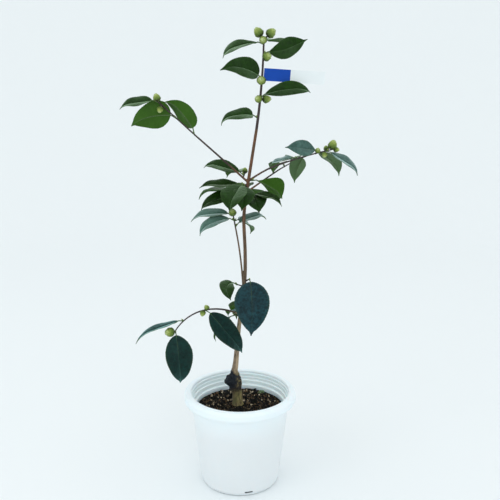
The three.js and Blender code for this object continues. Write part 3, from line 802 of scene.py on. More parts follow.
def drain_cutter(number):
    """The block that cuts one drain slot through the foot of the pot"""
    turn = math.radians(DRAIN_SLOTS["first"] + 360 / DRAIN_SLOTS["count"] * number)
    middle = (DRAIN_SLOTS["low"] + DRAIN_SLOTS["high"]) / 2
    size = (DRAIN_SLOTS["depth"], DRAIN_SLOTS["width"], DRAIN_SLOTS["high"] - DRAIN_SLOTS["low"])
    place = Matrix.Rotation(turn, 4, "Z") @ Matrix.Translation((BASE_RADIUS * MM, 0, middle * MM))
    bpy.ops.mesh.primitive_cube_add(size=1)
    cutter = bpy.context.object
    cutter.data.transform(place @ Matrix.Diagonal((*(side * MM for side in size), 1)))
    return cutter


class CAMELLIA_OT_pot(bpy.types.Operator):
    """Turn the pot, with its rolled rim, stepped rings and drain slots"""

    bl_idname = "camellia.pot"
    bl_label = "Pot"

    def execute(self, context):
        settings = context.scene.camellia.pot
        outline = pot_outline(settings.wall / MM, settings.foot_rounding / MM)
        outline = rounded(outline, CORNER_RADIUS, LONGEST_RUN)
        pot = new_object("nursery_pot", lathe_mesh("nursery_pot", outline, settings.sides))
        cutters = [drain_cutter(number) for number in range(DRAIN_SLOTS["count"])]
        for cutter in cutters:
            cut = pot.modifiers.new("drain slot", "BOOLEAN")
            cut.operation, cut.object, cut.solver = "DIFFERENCE", cutter, "EXACT"
        settle(pot)
        for cutter in cutters:
            bpy.data.objects.remove(cutter)
        pot.data.set_sharp_from_angle(angle=SHARP_EDGE)
        pot.data.materials.clear()
        pot.data.materials.append(pot_plastic(settings.colour, settings.mouth))
        finish_piece(pot, "pot_plastic", "pot")
        return {"FINISHED"}


def soil_mesh():
    """The potting mix: a filled body with an uneven top"""
    wall, rings, sides = 3.5, 26, 96
    outline = [(0, FLOOR_THICKNESS + 0.3), (wall_radius(FLOOR_THICKNESS) - wall, FLOOR_THICKNESS + 0.3),
               (wall_radius(THICK_FROM) - wall, THICK_FROM), (SOIL_RADIUS - 0.5, SOIL_TOP - 2.5)]
    edge = SOIL_RADIUS - 1.5
    outline += [(edge * (1 - i / rings), SOIL_TOP - 1) for i in range(rings + 1)]
    mesh = lathe_mesh("potting_mix", outline, sides)
    for vertex in mesh.vertices:
        if vertex.co.z > (SOIL_TOP - 1.5) * MM:
            spot = vertex.co / MM
            vertex.co.z += (noise.noise(spot * 0.08) * 1.6 + noise.noise(spot * 0.35) * 0.8 - 1.0) * MM
    return mesh


def crumb_tree():
    """Crumbs scattered over a surface, each turned, squashed and dented by chance"""
    sketch = Sketch.geometry("Scattered crumbs", Density=1000.0, Size=0.002, Seed=1, Material="material")
    seed = sketch.given("Seed")
    points = sketch.add("GeometryNodeDistributePointsOnFaces", sketch.given("Geometry"), None,
                        sketch.given("Density"), seed)
    crumb = sketch.add("GeometryNodeMeshIcoSphere", sketch.given("Size"), 2)
    spin = sketch.add("FunctionNodeEulerToRotation", sketch.random((0, 0, 0), (6.3, 6.3, 6.3), seed, True))
    scale = sketch.random((0.5, 0.4, 0.25), (1.5, 1.1, 0.8), seed + 5, True)
    crumbs = sketch.add("GeometryNodeInstanceOnPoints", points, None, crumb, None, None, spin, scale)
    crumbs = sketch.store(crumbs, "tone", sketch.random(0.0, 1.0, seed + 9), domain="INSTANCE")
    solid = sketch.add("GeometryNodeRealizeInstances", crumbs)
    rough = sketch.noise(sketch.place(), 420.0, 1.0).other("Color")
    dents = (rough - (0.5, 0.5, 0.5)) * (sketch.given("Size") * 0.9)
    return sketch.finish(sketch.moved(solid, dents))


def crumb_finish(name, dark, light, roughness):
    """Mostly dark crumbs, with a light one here and there"""
    finish = Finish(name, Roughness=roughness, Specular_IOR_Level=0.25)
    tone = finish.attribute("tone")
    finish.fill(Base_Color=finish.ramp(tone, (0.0, dark), (0.62, dark), (0.86, light), (1.0, light)))
    finish.bump(finish.speckle(900.0), 0.5, 0.0004)
    return finish.material


# A scatter on the soil: how many on a square metre, half their width in metres, their two colours, and the
# middle and radius of their patch in mm
Scatter = namedtuple("Scatter", "density size dark light middle radius")

CHIP_COLOURS = ((0.14, 0.08, 0.038), (0.6, 0.5, 0.35))
CHIP_SIZE = 0.95
CLUMP_SIZE = 2.2
MOSS = Scatter(900000.0, 0.0011, (0.1, 0.15, 0.07), (0.26, 0.36, 0.2), (34, 54), 6)
CLUMPS = 3600.0
CLUMP_PATCH = ((0, 16), 52)


class CAMELLIA_OT_soil(bpy.types.Operator):
    """Fill the pot with potting mix, crumbs, chips and a little moss"""

    bl_idname = "camellia.soil"
    bl_label = "Soil"

    def execute(self, context):
        settings = context.scene.camellia.soil
        dark, light, size = settings.dark, settings.light, settings.crumb_size
        body = new_object("potting_mix", soil_mesh())
        body.data.materials.append(crumb_finish("damp_mix", dark, light, 0.9))
        tree = crumb_tree()
        scatters = {
            "soil_crumbs": Scatter(settings.crumbs, size, dark, light, (0, 0), SOIL_RADIUS - 4),
            "bark_chips": Scatter(settings.chips, size * CHIP_SIZE, *CHIP_COLOURS, (0, 0), SOIL_RADIUS - 5),
            "soil_clumps": Scatter(CLUMPS, size * CLUMP_SIZE, times(dark, 0.7), dark, *CLUMP_PATCH),
            "moss": MOSS,
        }
        for name, scatter in scatters.items():
            bpy.ops.mesh.primitive_circle_add(vertices=48, radius=scatter.radius * MM, fill_type="TRIFAN")
            patch = context.object
            patch.name = name
            x, y = scatter.middle
            patch.data.transform(Matrix.Translation((x * MM, y * MM, (SOIL_TOP - 1) * MM)))
            patch.matrix_world = Matrix.Identity(4)
            grown(patch, tree, Density=scatter.density, Size=scatter.size, Seed=settings.seed,
                  Material=crumb_finish(name, scatter.dark, scatter.light, 0.85))
            finish_piece(patch, "potting_soil")
        finish_piece(body, "potting_soil", "soil")
        return {"FINISHED"}


def limb_tree():
    """Round limbs along paths, with a radius at each point and a little unevenness"""
    sketch = Sketch.geometry("Round limbs", Sides=16, Step=0.001, Relief=0.0001, Grain=600.0,
                             Material="material")
    curve = sketch.add("GeometryNodeMeshToCurve", sketch.given("Geometry"))
    curve = sketch.add("GeometryNodeCurveSplineType", curve, spline_type="CATMULL_ROM")
    curve = sketch.add("GeometryNodeResampleCurve", curve, None, sketch.given("Step"), mode="LENGTH")
    ring = sketch.add("GeometryNodeCurvePrimitiveCircle", sketch.given("Sides"), 1.0)
    skin = sketch.add("GeometryNodeCurveToMesh", curve, ring, sketch.attribute("radius"), True)
    place = sketch.place()
    swell = sketch.noise(place, sketch.given("Grain"), 3.0) - 0.5
    offset = sketch.add("GeometryNodeInputNormal") * (swell * sketch.given("Relief") * 2.0)
    return sketch.finish(sketch.moved(skin, offset))


# Heights on the trunk in metres, with how far old bark and the graft's lumps reach
BARK_FOOT = 0.13
AGE_REACH = 0.37
GRAFT_HEIGHT = 0.17
GRAFT_REACH = 0.022


def relief_tree():
    """The bark's relief: long wrinkles, small pores, and lumps round the graft"""
    sketch = Sketch.geometry("Bark relief", Relief=0.0003, Material="material")
    place = sketch.place()
    wrinkles = sketch.noise(place * (1.0, 1.0, 0.22), 520.0, 4.0, 0.6) - 0.5
    pores = (sketch.noise(place * (1.0, 1.0, 0.7), 900.0, 1.0) - 0.62).at_least(0.0)
    height = place.part("Z")
    age = (1.0 - (height - BARK_FOOT) / AGE_REACH).at_least(0.25)
    graft = (1.0 - abs(height - GRAFT_HEIGHT) / GRAFT_REACH).at_least(0.0)
    lumps = (sketch.noise(place, 170.0, 2.0, 0.5) - 0.5) * graft ** 0.5 * 22.0
    offset = (wrinkles * 1.8 + pores * 3.0 + lumps) * age * sketch.given("Relief")
    outward = sketch.add("GeometryNodeInputNormal") * offset
    return sketch.finish(sketch.moved(sketch.given("Geometry"), outward))


# The bark's colours go by height, from the first height to the second, in metres. The stem's colour is
# brighter low down: each pair is a share of that way and a factor.
BARK_HEIGHTS = (0.128, 0.6)
ROOT_TO = 0.11
STEM_TONES = ((0.14, 2.3), (0.28, 1.9), (0.42, 0.6))
SHOOT_FROM = 0.72

# Where the trunk stands in x, and how far from there the bark turns to that of the side boughs, in metres
TRUNK_X = 0.012
SIDE_BOUGHS = (0.014, 0.03)

# Where green bloom fades out, where the graft's crust starts and ends, and how far the cut's paint reaches
BLOOM_TOP = (0.16, 0.15)
CRUST_FOOT = (0.152, 0.158)
CRUST_TOP = (0.188, 0.181)
PAINT_REACH = (0.0195, 0.0165)


def bark_finish(settings):
    """Olive rootstock, tan stem and red-brown leader, with a dark sealed cut beside the graft"""
    finish = Finish("bark", Roughness=0.8, Specular_IOR_Level=0.3)
    height = finish.place().part("Z")
    root, stem, shoot, sealed = settings.root, settings.stem, settings.shoot, settings.sealed
    by_height = finish.ramp(
        finish.spread(height, *BARK_HEIGHTS), (0.0, root), (ROOT_TO, root),
        *[(share, times(stem, factor)) for share, factor in STEM_TONES], (SHOOT_FROM, shoot), (1.0, shoot))
    sideways = abs(finish.place().part("X") - TRUNK_X)
    by_height = finish.mix(finish.spread(sideways, *SIDE_BOUGHS), by_height, times(settings.twig, 1.3))
    streaks = finish.speckle(420.0, 4.0, 0.6, (1, 1, 0.2))
    mottled = finish.mix(finish.spread(streaks, 0.32, 0.6), times(stem, 0.3), by_height)
    patches = finish.speckle(110.0, 3.0, 0.6, (1, 1, 0.5))
    low = finish.spread(height, *BLOOM_TOP)
    weathered = finish.mix(finish.spread(patches, 0.54, 0.64, 0.0, 0.45) * low, mottled, settings.moss)
    cut = trunk_point(GRAFT_STUB.start)
    cut += direction(GRAFT_STUB.heading, GRAFT_STUB.rise) * GRAFT_STUB.length
    away = (finish.place() - tuple(cut * MM)).maths("LENGTH").other("Value")
    ragged = away + (finish.speckle(240.0) - 0.5) * 0.01
    paint = finish.spread(ragged, *PAINT_REACH)
    band = finish.spread(height, *CRUST_FOOT) * finish.spread(height, *CRUST_TOP)
    crusty = band * finish.spread(finish.speckle(150.0, 4.0, 0.65), 0.36, 0.48)
    crust = finish.mix(finish.speckle(320.0), sealed, times(stem, 0.16))
    crusted = finish.mix(crusty * 0.97, weathered, crust)
    finish.fill(Base_Color=finish.mix(paint, crusted, sealed))
    finish.fill(Roughness=finish.spread(streaks, 0.3, 0.7, 0.9, 0.62))
    finish.bump(streaks, 0.6, 0.0006)
    return finish.material


def radii_along(limb, count):
    """A limb's radii in metres, which taper evenly"""
    foot, tip = limb.radii
    return [(foot + (tip - foot) * i / (count - 1)) * MM for i in range(count)]


def limb_path(limb, axis):
    """A limb's path, for the limb tree"""
    return {"points": axis, "radius": radii_along(limb, len(axis))}


class CAMELLIA_OT_bark(bpy.types.Operator):
    """Grow the trunk and its boughs together under one bark"""

    bl_idname = "camellia.bark"
    bl_label = "Trunk and boughs"

    def execute(self, context):
        settings = context.scene.camellia.bark
        paths = [{"points": [Vector(s[:3]) for s in TRUNK], "radius": [s[3] * MM for s in TRUNK]},
                 limb_path(GRAFT_STUB, grow_axis(trunk_point(GRAFT_STUB.start), GRAFT_STUB))]
        paths += [limb_path(limb, AXES[name]) for name, limb in BOUGHS.items()]
        material = bark_finish(settings)
        bark = grown(path_object("trunk_and_boughs", paths), limb_tree(), Sides=24, Step=0.0012,
                     Relief=0.0, Material=material)
        join = bark.modifiers.new("grown together", "REMESH")
        join.mode, join.voxel_size, join.use_smooth_shade = "VOXEL", settings.voxel, True
        soften = bark.modifiers.new("soft forks", "SMOOTH")
        soften.factor, soften.iterations = 0.5, 3
        settle(bark)
        grown(bark, relief_tree(), Relief=settings.relief, Material=material)
        finish_piece(bark, "bark", "trunk", *BOUGHS)
        return {"FINISHED"}


def twig_finish(name, low, high, roughness):
    """Fine grain along the twigs, between two colours"""
    finish = Finish(name, Roughness=roughness, Specular_IOR_Level=0.35)
    grain = finish.speckle(700.0, 3.0, 0.6, (1, 1, 0.4))
    finish.fill(Base_Color=finish.mix(finish.spread(grain, 0.35, 0.65), low, high))
    finish.bump(grain, 0.4, 0.0003)
    return finish.material


# The stalks' radii at foot and knee, and a midrib's radius with its taper, in mm. A midrib lies sunk in
# the blade, by the first number and a share of its radius.
STALK_RADII = (1.5, 0.95)
STALK_KNEE = 0.35
RIB_RADIUS = 0.85
RIB_TAPER = 0.7
RIB_SUNK = (1.05, 0.35)
BUD_STALK_RADII = (1.2, 1.25)
BUD_STALK_END = 0.42


def leaf_stalk(item):
    """A leaf's stalk, and the midrib that it runs on into"""
    points = [item["node"], item["node"] + item["stalk_way"] * (STALK_LENGTH * STALK_KNEE)]
    radii = list(STALK_RADII)
    for share, point, side, way in zip(LEAF_STATIONS, item["points"], item["sides"], item["ways"]):
        radius = RIB_RADIUS - RIB_TAPER * share
        sunk = RIB_SUNK[0] + radius * RIB_SUNK[1] if share > 0 else 0.0
        points.append(point - side.cross(way) * sunk)
        radii.append(radius)
    return {"points": points, "radius": [radius * MM for radius in radii]}


def bud_stalk(item):
    """The short stalk that a flower bud stands on"""
    bud, foot = item["bud"], item["node"]
    end = foot + item["way"] * (bud.reach - bud.length * BUD_STALK_END)
    return {"points": [foot, end], "radius": [radius * MM for radius in BUD_STALK_RADII]}


class CAMELLIA_OT_twigs(bpy.types.Operator):
    """Grow the sprays' twigs with the bud stalks, and the leaf stalks with their midribs"""

    bl_idname = "camellia.twigs"
    bl_label = "Twigs and stalks"

    def execute(self, context):
        bark, vein = context.scene.camellia.bark, context.scene.camellia.leaf.vein
        tree = limb_tree()
        twigs = [limb_path(spray.limb, AXES[name]) for name, spray in SPRAYS.items()]
        twigs += [bud_stalk(item) for item in BUDS]
        finish = twig_finish("twig_bark", bark.twig, times(bark.twig, 1.9), 0.75)
        piece = grown(path_object("twigs", twigs), tree, Sides=12, Step=0.0012, Relief=0.00025, Grain=500.0,
                      Material=finish)
        finish_piece(piece, "bark", *SPRAYS)
        stalks = [leaf_stalk(item) for item in LEAVES]
        finish = twig_finish("leaf_stalk", times(vein, 0.55), vein, 0.5)
        piece = grown(path_object("leaf_stalks", stalks), tree, Sides=8, Step=0.0015, Relief=0.0001,
                      Grain=500.0, Material=finish)
        finish_piece(piece, "foliage", *SPRAYS)
        return {"FINISHED"}


# The blade tree's inputs. Veins and waves are counted along a blade, and the widths are in metres.
BLADE_INPUTS = {"Cells along": 72, "Cells across": 20, "Teeth": 24.0, "Tooth depth": 0.0006,
                "Vein relief": 0.0004, "Margin wave": 0.001}
VEIN_PAIRS = 9.0
VEIN_SLANT = 1.5
MARGIN_WAVES = 11.0
MIDRIB_WIDTH = 0.0006
CHANNEL_WIDTH = 0.0011
SHARP_MARGIN = math.radians(60)


def blade_tree():
    """Leaf blades that follow their ribs, with a folded, toothed and veined sheet for each rib"""
    sketch = Sketch.geometry("Leaf blades", **BLADE_INPUTS, Material="material")
    ribs = sketch.add("GeometryNodeMeshToCurve", sketch.given("Geometry"))
    ribs = sketch.add("GeometryNodeCurveSplineType", ribs, spline_type="CATMULL_ROM")
    count = sketch.add("GeometryNodeAttributeDomainSize", ribs, component="CURVE").other("Spline Count")
    blades = sketch.sheets(count, "rib", sketch.given("Cells across"), sketch.given("Cells along"), True)

    flat = sketch.attribute("flat", "FLOAT_VECTOR")
    along = flat.part("Y") + 0.5
    even = flat.part("X") * 2.0
    across = even * abs(even) ** 0.35
    away = abs(across)
    rib = sketch.attribute("rib", "INT")

    def at_rib(name, data_type="FLOAT"):
        return sketch.add("GeometryNodeSampleCurve", ribs, sketch.attribute(name, data_type), along, rib,
                          mode="FACTOR", data_type=data_type)

    middle = at_rib("sides", "FLOAT_VECTOR")
    side = middle.maths("NORMALIZE")
    up = side.maths("CROSS_PRODUCT", middle.other("Tangent")).maths("NORMALIZE")
    width, fold = at_rib("widths"), at_rib("folds")

    shape = LEAF_OUTLINE
    lean = (along / shape["body_end"]).at_most(1.0) ** at_rib("leans")
    body = (lean * math.pi).maths("SINE").at_least(0.0) ** shape["fullness"]
    tip = ((1.0 - along) * shape["tip_taper"]).at_most(shape["tip_width"])
    tip = tip * along.maths("GREATER_THAN", 0.5)
    outline = body.at_least(tip).at_least(shape["point"])
    saw = (along * sketch.given("Teeth")).maths("FRACT") * body * away ** 8.0
    out = across * (width * outline * 0.5 + saw * sketch.given("Tooth depth"))
    off = abs(out)

    # Veins leave the midrib slantwise, and the blade is puffed up between them
    phase = along * VEIN_PAIRS - away * VEIN_SLANT
    ridge = abs((phase * math.pi).maths("SINE"))
    inner = away * (1.0 - away ** 4.0) * body
    quilt = ridge ** 0.6 * inner * sketch.given("Vein relief")
    channel = (off / -CHANNEL_WIDTH).maths("EXPONENT") * sketch.given("Vein relief") * -1.6
    swing = (along * MARGIN_WAVES + rib * 2.4).maths("SINE")
    wave = swing * away * away * body * sketch.given("Margin wave")
    lift = off * fold.maths("SINE") * (1.0 - away * 0.28) + channel + quilt + wave
    place = middle.other("Position") + side * (out * fold.maths("COSINE")) + up * lift
    blades = sketch.set_out(blades, place)
    vein = (1.0 - ridge) ** 5.0 * inner * 0.8
    vein = vein.at_least((off / -MIDRIB_WIDTH).maths("EXPONENT"))
    blades = sketch.store(blades, "vein", vein)
    blades = sketch.store(blades, "rim", away ** 14.0)
    return sketch.finish(blades)


# The bloom on the upper face of each tone: how strong, how wide, its tint, and how dark its mottles are
Bloom = namedtuple("Bloom", "weight spread tint mottle")
BLOOMS = {
    "olive": Bloom(0.9, 0.42, (0.7, 1.0, 0.62), 0.3),
    "deep": Bloom(0.4, 0.35, (0.75, 1.0, 0.6), 0.25),
    "pale": Bloom(1.0, 0.42, (0.75, 1.0, 0.97), 0.3),
    "misty": Bloom(1.0, 0.45, (0.8, 1.0, 0.97), 0.2),
    "blue": Bloom(1.0, 0.42, (0.65, 0.93, 1.0), 0.7),
    "teal": Bloom(1.0, 0.45, (0.5, 0.97, 0.93), 0.6),
}
# These tones, whose upper faces are lightened by a painted reflection, have a pale lower face too
PALE_TONES = ("pale", "misty")


def leaf_upper(name, colour, vein, bloom):
    """A glossy upper face with a dusty bloom, darker mottles, and faintly paler veins and rim"""
    finish = Finish(name, Roughness=0.3, IOR=1.45, Specular_IOR_Level=0.1, Sheen_Weight=bloom.weight,
                    Sheen_Roughness=bloom.spread, Sheen_Tint=bloom.tint)
    clouds = finish.speckle(60.0, 3.0)
    tinted = finish.mix(clouds, times(colour, 0.5), times(colour, 1.5))
    mottles = finish.speckle(220.0, 3.0, 0.6)
    patchy = finish.spread(mottles, 0.4, 0.58, bloom.mottle, 0.0)
    tinted = finish.mix(patchy, tinted, times(colour, 0.15))
    veined = finish.mix(finish.attribute("vein") * 0.07, tinted, vein)
    finish.fill(Base_Color=finish.mix(finish.attribute("rim") * 0.15, veined, vein))
    finish.fill(Roughness=finish.spread(clouds, 0.3, 0.7, 0.24, 0.38))
    finish.bump(mottles, 0.5, 0.001)
    return finish.material


def leaf_under(name, colour, vein):
    """A duller lower face with its veins in plain sight"""
    finish = Finish(name, Roughness=0.5, IOR=1.4, Specular_IOR_Level=0.14)
    clouds = finish.speckle(60.0, 3.0)
    tinted = finish.mix(clouds, times(colour, 0.8), times(colour, 1.2))
    finish.fill(Base_Color=finish.mix(finish.attribute("vein") * 0.5, tinted, vein))
    finish.bump(finish.speckle(1400.0, 2.0), 0.15, 0.0002)
    return finish.material


def leaf_path(item):
    """A leaf's rib, with its width, fold and lean at each point"""
    count = len(item["points"])
    return {"points": item["points"], "sides": item["sides"], "widths": [item["width"] * MM] * count,
            "folds": [item["fold"]] * count, "leans": [item["leaf"].lean] * count}


class CAMELLIA_OT_leaves(bpy.types.Operator):
    """Grow the leaf blades, with those of each tone in one piece"""

    bl_idname = "camellia.leaves"
    bl_label = "Leaves"

    def execute(self, context):
        settings = context.scene.camellia.leaf
        tree = blade_tree()
        values = {name: getattr(settings, name.lower().replace(" ", "_")) for name in BLADE_INPUTS}
        for tone, bloom in BLOOMS.items():
            upper = leaf_upper(f"leaf_{tone}", getattr(settings, tone), settings.vein, bloom)
            under = settings.pale_under if tone in PALE_TONES else settings.under
            paths = [leaf_path(item) for item in LEAVES if item["tone"] == tone]
            piece = grown(path_object(f"leaves_{tone}", paths), tree, **values, Material=upper)
            piece.data.materials.append(leaf_under(f"leaf_under_{tone}", under, settings.vein))
            thicken(piece, settings.thickness, material_offset=1, material_offset_rim=1)
            piece.data.set_sharp_from_angle(angle=SHARP_MARGIN)
            finish_piece(piece, "foliage", *[name for name, spray in SPRAYS.items() if spray.tone == tone])
        return {"FINISHED"}


# Shares of a bud's length: how far the outermost scale's foot and tip lie below its middle, how far they
# climb to the innermost scale, its half width and the lip of a scale. Scales turn and wrap by radians.
BUD_FOOT = 0.47
BUD_FOOT_CLIMB = 0.22
BUD_TIP = 0.13
BUD_TIP_CLIMB = 0.62
BUD_GIRTH = 0.47
BUD_LIP = 0.05
SCALE_TURN = 2.51
SCALE_WRAP = 1.25


def bud_tree():
    """Buds of overlapping scales, one at each point, turned to its way and sized by its length"""
    sketch = Sketch.geometry("Scaly buds", Scales=11, Cells=8, Material="material")
    count, cells = sketch.given("Scales"), sketch.given("Cells")
    scales = sketch.sheets(count, "order", cells, cells)

    flat = sketch.attribute("flat", "FLOAT_VECTOR")
    up = flat.part("Y") + 0.5
    across = flat.part("X") * 2.0
    order = sketch.attribute("order", "INT")
    rank = order / (count - 1.0)

    # The outermost scales are the lowest and shortest, and the innermost reach the tip
    foot = rank * BUD_FOOT_CLIMB - BUD_FOOT
    top = rank ** 0.8 * BUD_TIP_CLIMB - BUD_TIP
    height = foot + up * (top - foot)
    rounded_rim = (1.0 - up ** 3.5).at_least(0.0) ** 0.5
    turn = order * SCALE_TURN + across * rounded_rim * (SCALE_WRAP - rank * 0.25)
    share = ((height + 0.48) / 0.98).at_most(1.0).at_least(0.0) ** 0.9
    swell = (share ** 0.82 * math.pi).maths("SINE").at_least(0.0) ** 0.66
    lip = up ** 3.0 * (1.0 - rank * 0.7) * BUD_LIP
    radius = swell * BUD_GIRTH * (1.0 - rank * 0.11) + lip
    place = sketch.add("ShaderNodeCombineXYZ", radius * turn.maths("COSINE"), radius * turn.maths("SINE"),
                       height)
    scales = sketch.set_out(scales, place)
    rim = (up ** 6.0).at_least(abs(across) ** 10.0)
    scales = sketch.store(scales, "rim", rim)
    scales = sketch.store(scales, "level", height + 0.5)

    core = sketch.add("GeometryNodeMeshIcoSphere", 0.5, 2)
    core = sketch.add("GeometryNodeTransform", core, None, None, (0.78, 0.78, 0.9))
    core = sketch.store(core, "level", sketch.place().part("Z") + 0.5)
    bud = sketch.add("GeometryNodeJoinGeometry", scales)
    sketch.tree.links.new(core.socket, bud.socket.node.inputs[0])
    way = sketch.attribute("way", "FLOAT_VECTOR")
    turned = sketch.add("FunctionNodeAlignRotationToVector", None, 1.0, way, axis="Z")
    buds = sketch.add("GeometryNodeInstanceOnPoints", sketch.given("Geometry"), None, bud, None, None,
                      turned, sketch.attribute("size", "FLOAT_VECTOR"))
    return sketch.finish(buds)


def bud_finish(settings):
    """Scales that pale from a dark green foot, partly painted shade, to a creamy tip, partly painted light,
    with darker rims
    """
    finish = Finish("bud_scales", Roughness=0.5, Specular_IOR_Level=0.25, Sheen_Weight=0.1,
                    Sheen_Roughness=0.3)
    scale = settings.scale
    clouds = finish.speckle(260.0, 3.0)
    level = finish.attribute("level") + (clouds - 0.5) * 0.35
    green = (scale[0] * 0.27, scale[1] * 0.36, scale[2] * 0.24)
    tip = (scale[0] * 1.2, scale[1] * 1.15, scale[2] * 2.4)
    # The ramp's near-black foot is partly painted shade at the bud's base, and its pale top is partly
    # painted light
    body = finish.ramp(level, (0.16, times(green, 0.12)), (0.47, green), (0.74, times(scale, 0.7)),
                       (1.0, tip))
    finish.fill(Base_Color=finish.mix(finish.attribute("rim") * 0.6, body, settings.margin))
    finish.bump(finish.speckle(1500.0, 2.0), 0.25, 0.0002)
    return finish.material


# A bud's width and height as shares of its length, and the small bud in a leaf's axil, in mm
BUD_SIZE = (0.98, 0.98, 1.12)
AXIL_BUD = {"size": (0.4, 0.4, 1), "length": 5, "reach": 3.2, "lift": 0.8}


class CAMELLIA_OT_buds(bpy.types.Operator):
    """Set the flower buds on their stalks, and a small pointed bud in the axil of each leaf"""

    bl_idname = "camellia.buds"
    bl_label = "Buds"

    def execute(self, context):
        settings = context.scene.camellia.bud
        points, ways, sizes = [], [], []
        for item in BUDS:
            bud = item["bud"]
            points.append(item["node"] + item["way"] * bud.reach)
            ways.append(item["way"])
            sizes.append(Vector(BUD_SIZE) * bud.length * MM)
        for item in LEAVES:
            way = (item["stalk_way"] + direction(0, 90) * AXIL_BUD["lift"]).normalized()
            points.append(item["node"] + way * AXIL_BUD["reach"])
            ways.append(way)
            sizes.append(Vector(AXIL_BUD["size"]) * AXIL_BUD["length"] * MM)
        mesh = bpy.data.meshes.new("buds")
        mesh.from_pydata([point * MM for point in points], [], [])
        store_points(mesh, "way", ways)
        store_points(mesh, "size", sizes)
        buds = grown(new_object("buds", mesh), bud_tree(), Scales=settings.scales, Cells=settings.cells,
                     Material=bud_finish(settings))
        thicken(buds, settings.thickness)
        finish_piece(buds, "foliage", *[name for name, spray in SPRAYS.items() if spray.buds])
        return {"FINISHED"}


# The label starts past the room of its loop, at a share of the top spray's stem. Sizes are mm and degrees.
LABEL = {"spray": "foliage_top", "share": 0.645, "length": 90, "height": 18, "drop": 5, "heading": 6,
         "tilt": 4, "loop_wall": 1.1, "gap": 0.3, "bow": 0.8, "back": 0.3}


def label_finish(name, colour):
    """Plain matt plastic with a faint cloudiness"""
    finish = Finish(name, Roughness=0.45, IOR=1.5, Specular_IOR_Level=0.2)
    clouds = finish.speckle(40.0, 2.0)
    finish.fill(Base_Color=finish.mix(clouds, colour, times(colour, 0.93)))
    finish.bump(finish.speckle(800.0, 2.0), 0.1, 0.0002)
    return finish.material


class CAMELLIA_OT_label(bpy.types.Operator):
    """Hang the blank label from the top spray's stem"""

    bl_idname = "camellia.label"
    bl_label = "Label"

    def execute(self, context):
        settings = context.scene.camellia.label
        foot, tip = SPRAYS[LABEL["spray"]].limb.radii
        start = foot + (tip - foot) * LABEL["share"] + LABEL["gap"] + LABEL["loop_wall"] / 2
        columns, rows = 60, 12
        verts, faces = [], []
        for i in range(columns + 1):
            x = start + LABEL["length"] * i / columns
            for j in range(rows + 1):
                level = j / rows - 0.5
                bow = LABEL["bow"] * math.sin(math.pi * i / columns) * (1 - (2 * level) ** 2)
                verts.append((x, (bow - LABEL["back"]) / 2, level * LABEL["height"] - LABEL["drop"]))
        for i in range(columns):
            for j in range(rows):
                a = i * (rows + 1) + j
                faces.append((a, a + rows + 1, a + rows + 2, a + 1))
        mesh = bpy.data.meshes.new("blank_label")
        mesh.from_pydata(verts, [], faces)
        mesh.materials.append(label_finish("label_blue", settings.blue))
        mesh.materials.append(label_finish("label_white", settings.white))
        for polygon in mesh.polygons:
            polygon.material_index = int(polygon.center.x - start > settings.blue_length / MM)
        turn = Matrix.Rotation(math.radians(LABEL["heading"]), 4, "Z")
        tilt = Matrix.Rotation(math.radians(LABEL["tilt"]), 4, "Y")
        centre = point_along(AXES[LABEL["spray"]], LABEL["share"])
        mesh.transform(Matrix.Scale(MM, 4) @ Matrix.Translation(centre) @ turn @ tilt)
        label = thicken(new_object("blank_label", mesh), settings.thickness, 0)
        label.data.shade_smooth()
        label.data.set_sharp_from_angle(angle=SHARP_EDGE)
        finish_piece(label, "label_plastic", "plant_label")
        return {"FINISHED"}


# The floor is flat round the pot and climbs to a rim by a curve, in metres
STAGE_RADIUS = 3.6
STAGE_FLAT = 1.5
STAGE_RISE = 1.9
STAGE_CURVE = 2.2

SENSOR_WIDTH = 36

# Where each lamp stands, its width in metres and its power in watts
OVERHEAD = ((0, -0.2, 3.0), 3.6, 4)
WINDOW = ((-1.7, -1.4, 1.8), 1.2, 5.5)
FRONT = ((0.6, -2.1, 1.4), 1.0, 5)
DAYLIGHT = (0.97, 0.99, 1.0)
LAMPS_AIM = Vector((0, 0, 0.35))


def area_light(name, colour, place, size, power):
    """A square lamp aimed at the plant, which the camera doesn't see"""
    light = bpy.data.lights.new(name, "AREA")
    light.size, light.energy, light.color = size, power, colour
    lamp = new_object(name, light)
    lamp.location = place
    lamp.visible_camera = False
    lamp.rotation_euler = (LAMPS_AIM - Vector(place)).to_track_quat("-Z", "Y").to_euler()


def floor_mesh():
    """A round floor whose rim climbs, so that no edge of it is seen"""
    rings, sides = 40, 96
    verts, faces = [], []
    for i in range(rings + 1):
        radius = STAGE_RADIUS * i / rings
        climb = max((radius - STAGE_FLAT) / (STAGE_RADIUS - STAGE_FLAT), 0)
        height = STAGE_RISE * climb ** STAGE_CURVE
        for k in range(sides):
            turn = 2 * math.pi * k / sides
            verts.append((radius * math.cos(turn), radius * math.sin(turn), height))
    for i in range(rings):
        low, high = i * sides, (i + 1) * sides
        for k in range(sides):
            after = (k + 1) % sides
            faces.append((low + k, high + k, high + after, low + after))
    mesh = bpy.data.meshes.new("floor")
    mesh.from_pydata(verts, [], faces)
    mesh.validate()
    mesh.shade_smooth()
    return mesh


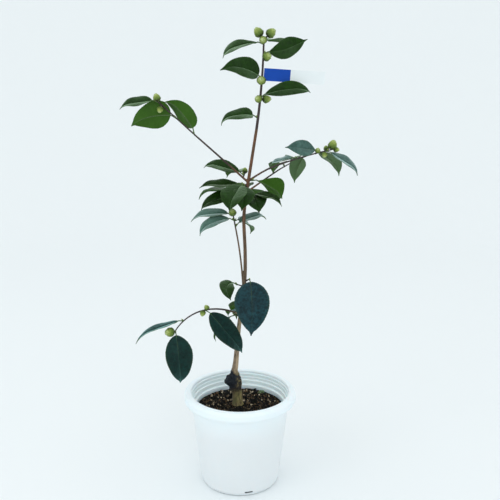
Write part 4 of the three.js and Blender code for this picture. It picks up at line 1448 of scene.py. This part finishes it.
class CAMELLIA_OT_stage(bpy.types.Operator):
    """Set out the pale floor, the soft light and the camera"""

    bl_idname = "camellia.stage"
    bl_label = "Stage"

    def execute(self, context):
        settings = context.scene.camellia.stage
        floor = new_object("floor", floor_mesh())
        finish = Finish("floor_paper", Roughness=0.9, Specular_IOR_Level=0.1, Base_Color=settings.floor)
        floor.data.materials.append(finish.material)
        world = bpy.data.worlds.new("soft sky")
        world.use_nodes = True
        background = world.node_tree.nodes["Background"]
        background.inputs["Color"].default_value = opaque(settings.sky)
        background.inputs["Strength"].default_value = settings.sky_strength
        context.scene.world = world
        context.scene.view_settings.view_transform = "Standard"
        area_light("overhead", settings.sky, *OVERHEAD)
        area_light("window", DAYLIGHT, *WINDOW)
        area_light("front", DAYLIGHT, *FRONT)
        camera = bpy.data.cameras.new("camera")
        camera.lens, camera.sensor_width = settings.lens, SENSOR_WIDTH
        eye = new_object("camera", camera)
        eye.location = settings.camera_place
        eye.rotation_euler = (math.pi / 2 - settings.camera_pitch, 0, 0)
        context.scene.camera = eye
        return {"FINISHED"}


OPERATORS = (CAMELLIA_OT_stage, CAMELLIA_OT_pot, CAMELLIA_OT_soil, CAMELLIA_OT_bark, CAMELLIA_OT_twigs,
             CAMELLIA_OT_leaves, CAMELLIA_OT_buds, CAMELLIA_OT_label)


class CAMELLIA_PT_panel(bpy.types.Panel):
    """Lists the pieces of the potted camellia and their settings"""

    bl_idname = "CAMELLIA_PT_panel"
    bl_label = "Potted camellia"
    bl_space_type = "VIEW_3D"
    bl_region_type = "UI"
    bl_category = "Camellia"

    def draw(self, context):
        for operator in OPERATORS:
            self.layout.operator(operator.bl_idname)
        for name in CamelliaSettings.__annotations__:
            group = getattr(context.scene.camellia, name)
            box = self.layout.box()
            box.label(text=name.capitalize())
            for key in type(group).__annotations__:
                box.prop(group, key)


CLASSES = (PotSettings, SoilSettings, LeafSettings, BarkSettings, BudSettings, LabelSettings, StageSettings,
           CamelliaSettings, *OPERATORS, CAMELLIA_PT_panel)


def register():
    for item in CLASSES:
        bpy.utils.register_class(item)
    bpy.types.Scene.camellia = PointerProperty(type=CamelliaSettings)


def unregister():
    del bpy.types.Scene.camellia
    for item in reversed(CLASSES):
        bpy.utils.unregister_class(item)


def main():
    register()
    for operator in OPERATORS:
        family, name = operator.bl_idname.split(".")
        getattr(getattr(bpy.ops, family), name)()


if __name__ == "__main__":
    main()
